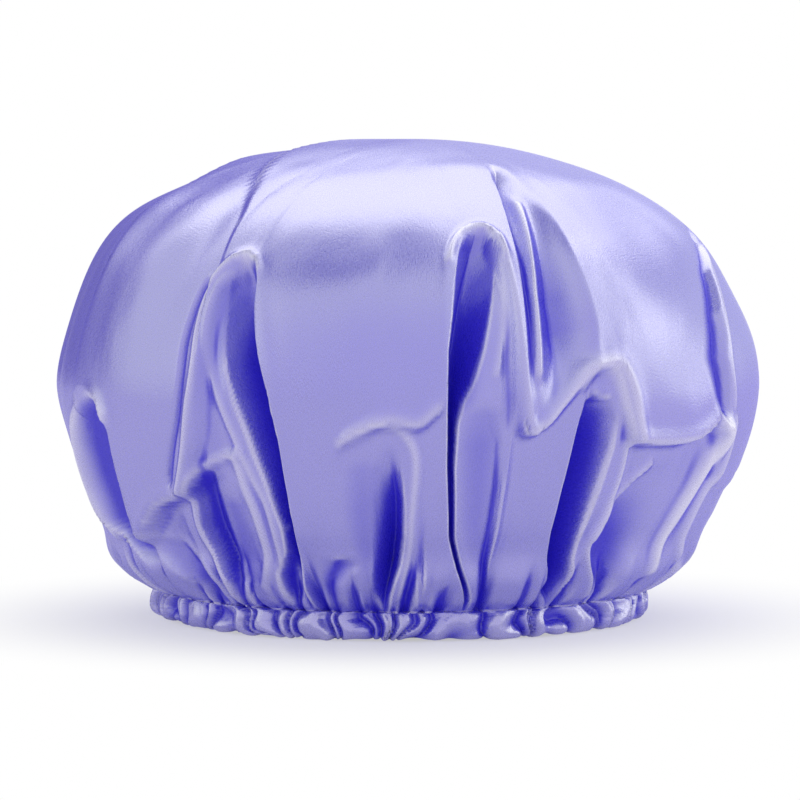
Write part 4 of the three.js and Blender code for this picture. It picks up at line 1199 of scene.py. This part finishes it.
# Each softbox: where it stands, its width and height, and its brightness, one being white. All face one aim.
LAMP_AIM = Vector((0, 0, 0.08))
LAMPS = {
    "top_box": ((0.12, 0.42, 0.95), 1.3, 0.8, 1.1),
    "left_box": ((-1.2, -0.6, 0.5), 0.3, 1.0, 0.3),
    "right_box": ((1.0, 0.04, 0.95), 0.45, 1.2, 0.8),
    "left_strip": ((-0.75, 0.56, 0.92), 0.28, 0.8, 0.45),
    "right_strip": ((0.52, 0.98, 0.68), 0.3, 0.3, 0.8),
    "side_box": ((1.3, -0.2, 0.42), 0.8, 0.6, 0.5),
    "low_box": ((1.16, 0.46, 0.16), 0.5, 0.3, 0.7),
}

# The floor shines white, but less so near its middle, where the cap's shadow shows. What the satin mirrors
# of it is tinted, and dimmer but for the part to the right of the cap. Places are in metres.
WHITE = (1, 1, 1, 1)
HALF_FLOOR = 4.0
FLOOR_COLOUR, FLOOR_ROUGHNESS = (0.86, 0.86, 0.89, 1), 0.9
FLOOR_MIRRORED = (0.86, 0.81, 1.0, 1)
FLOOR_FADE, LEAST_WHITE = (0.08, 0.18), 0.5
TO_THE_RIGHT, SHEEN_FADE, LEAST_SHEEN = (1, 0, 0), (0.15, 0.27), 0.72

# The room that the satin mirrors: walls, tinted in front, with a dark side on the left and half a one on the
# right, each as a direction and the cosines to it at which it starts and is whole, and a dark brow overhead,
# an ellipsoid of directions with a cloudy edge
MIRRORED_RAYS = ("Is Glossy Ray", "Is Transmission Ray")
FRONT_WALL, FRONT_COLOUR = ((0.0, -1.0, -0.1), 0.3, 0.85), (0.82, 0.78, 1.0, 1)
LEFT_SIDE, RIGHT_SIDE = ((-0.54, 0.84, 0.02), 0.80, 0.86), ((0.56, 0.44, 0.70), 0.93, 0.985)
RIGHT_SHARE, SIDE_COLOUR = 0.5, (0.33, 0.30, 0.46, 1)
BROW = {"Location": (-0.17, -0.165, 0.97), "Rotation": (0, 0, 0.35), "Scale": (2.4, 0.66, 3.3)}
BROW_EDGE, BROW_COLOUR = (0.19, 0.28), (0.06, 0.05, 0.20, 1)
CLOUD_SCALE, CLOUD_SHARE = 5.0, 0.16

# The soft light that the room gives to all that isn't mirrored
ROOM_LIGHT, ROOM_STRENGTH = (0.9, 0.9, 1.0, 1), 0.6


def lamp(name, place, width, height, radiance):
    """A softbox of a given brightness, one being white."""
    data = bpy.data.lights.new(name, "AREA")
    data.shape, data.size, data.size_y = "RECTANGLE", width, height
    data.energy = radiance * math.pi * width * height
    light = bpy.data.objects.new(name, data)
    bpy.context.scene.collection.objects.link(light)
    light.location = place
    light.rotation_euler = (Vector(place) - LAMP_AIM).to_track_quat("Z", "Y").to_euler()


class SHOWERCAP_OT_studio(bpy.types.Operator):
    """Set the cap on a pale floor under soft studio light"""

    bl_idname = "showercap.studio"
    bl_label = "Studio"

    def camera(self, scene):
        data = bpy.data.cameras.new("camera")
        camera = bpy.data.objects.new("camera", data)
        scene.collection.objects.link(camera)
        scene.camera = camera
        back = Vector((0.0, -math.cos(CAMERA_ELEVATION), math.sin(CAMERA_ELEVATION)))
        camera.location = CAMERA_TARGET + back * CAMERA_DISTANCE
        camera.rotation_euler = back.to_track_quat("Z", "Y").to_euler()
        data.sensor_width = SENSOR_WIDTH
        data.lens = SENSOR_WIDTH * CAMERA_DISTANCE / FRAMED_WIDTH
        data.clip_start, data.clip_end = CLIP_START, CLIP_END

    def floor(self):
        mesh = bmesh.new()
        bmesh.ops.create_grid(mesh, x_segments=1, y_segments=1, size=HALF_FLOOR)
        floor = finished(mesh, "floor")
        nodes = Nodes.material("white_floor")
        plain = nodes.surface({"Base Color": FLOOR_COLOUR, "Roughness": FLOOR_ROUGHNESS})
        place = nodes.place()
        far = nodes.ramp(nodes.vector("LENGTH", place), *FLOOR_FADE, low=LEAST_WHITE)
        sheen = nodes.ramp(nodes.vector("DOT_PRODUCT", place, TO_THE_RIGHT), *SHEEN_FADE, low=LEAST_SHEEN)
        mirrored = nodes.rays(*MIRRORED_RAYS)
        white = nodes.add("ShaderNodeEmission", None, {
            "Color": nodes.mix(mirrored, WHITE, FLOOR_MIRRORED), "Strength": 1.0})
        seen = far * (nodes.rays("Is Camera Ray") + mirrored * sheen)
        floor.data.materials.append(nodes.finish(nodes.mix_shader(seen, plain, white)))

    def world(self, scene):
        scene.world = bpy.data.worlds.new("studio")
        nodes = Nodes(scene.world, "World Output")
        way = nodes.add("ShaderNodeTexCoord", output="Generated")

        def towards(direction, low, high):
            return nodes.ramp(nodes.vector("DOT_PRODUCT", way, Vector(direction).normalized()), low, high)

        def light(colour, strength=1.0):
            return nodes.add("ShaderNodeBackground", None, {"Color": colour, "Strength": strength})

        off = nodes.vector("LENGTH", nodes.add("ShaderNodeMapping", {"vector_type": "TEXTURE"}, {
            "Vector": way, **BROW}))
        cloud = nodes.noise(way, CLOUD_SCALE) * CLOUD_SHARE
        brow = nodes.ramp(off + cloud, *BROW_EDGE, low=1.0, high=0.0)
        sides = towards(*LEFT_SIDE) + towards(*RIGHT_SIDE) * RIGHT_SHARE
        walls = nodes.mix(towards(*FRONT_WALL), WHITE, FRONT_COLOUR)
        walls = nodes.mix(sides, walls, SIDE_COLOUR)
        walls = nodes.mix(brow, walls, BROW_COLOUR)
        soft = light(ROOM_LIGHT, ROOM_STRENGTH)
        mirrored = nodes.mix_shader(nodes.rays(*MIRRORED_RAYS), soft, light(walls))
        nodes.finish(nodes.mix_shader(nodes.rays("Is Camera Ray"), mirrored, light(WHITE)))

    def execute(self, context):
        scene = context.scene
        scene.view_settings.view_transform = "Standard"
        self.camera(scene)
        self.floor()
        self.world(scene)
        for name, sizes in LAMPS.items():
            lamp(name, *sizes)
        return {"FINISHED"}


class SHOWERCAP_PT_panel(bpy.types.Panel):
    """The cap's steps, in order."""

    bl_idname = "SHOWERCAP_PT_panel"
    bl_label = "Shower cap"
    bl_space_type = "VIEW_3D"
    bl_region_type = "UI"
    bl_category = "Shower cap"

    def draw(self, context):
        layout = self.layout
        for group in (context.scene.cap_size, context.scene.cap_colours):
            box = layout.box()
            for name in group.bl_rna.properties.keys():
                if name not in ("rna_type", "name"):
                    box.prop(group, name)
        for step in STEPS:
            layout.operator(step.bl_idname)


STEPS = (SHOWERCAP_OT_studio, SHOWERCAP_OT_satin, SHOWERCAP_OT_lining, SHOWERCAP_OT_casing,
         SHOWERCAP_OT_stitches, SHOWERCAP_OT_elastic)
CLASSES = (CapSize, CapColours, *STEPS, SHOWERCAP_PT_panel)


def register():
    for kind in CLASSES:
        bpy.utils.register_class(kind)
    bpy.types.Scene.cap_size = bpy.props.PointerProperty(type=CapSize)
    bpy.types.Scene.cap_colours = bpy.props.PointerProperty(type=CapColours)


def unregister():
    del bpy.types.Scene.cap_colours
    del bpy.types.Scene.cap_size
    for kind in reversed(CLASSES):
        bpy.utils.unregister_class(kind)


def main():
    register()
    bpy.ops.showercap.studio()
    bpy.ops.showercap.satin()
    bpy.ops.showercap.lining()
    bpy.ops.showercap.casing()
    bpy.ops.showercap.stitches()
    bpy.ops.showercap.elastic()


if __name__ == "__main__":
    main()
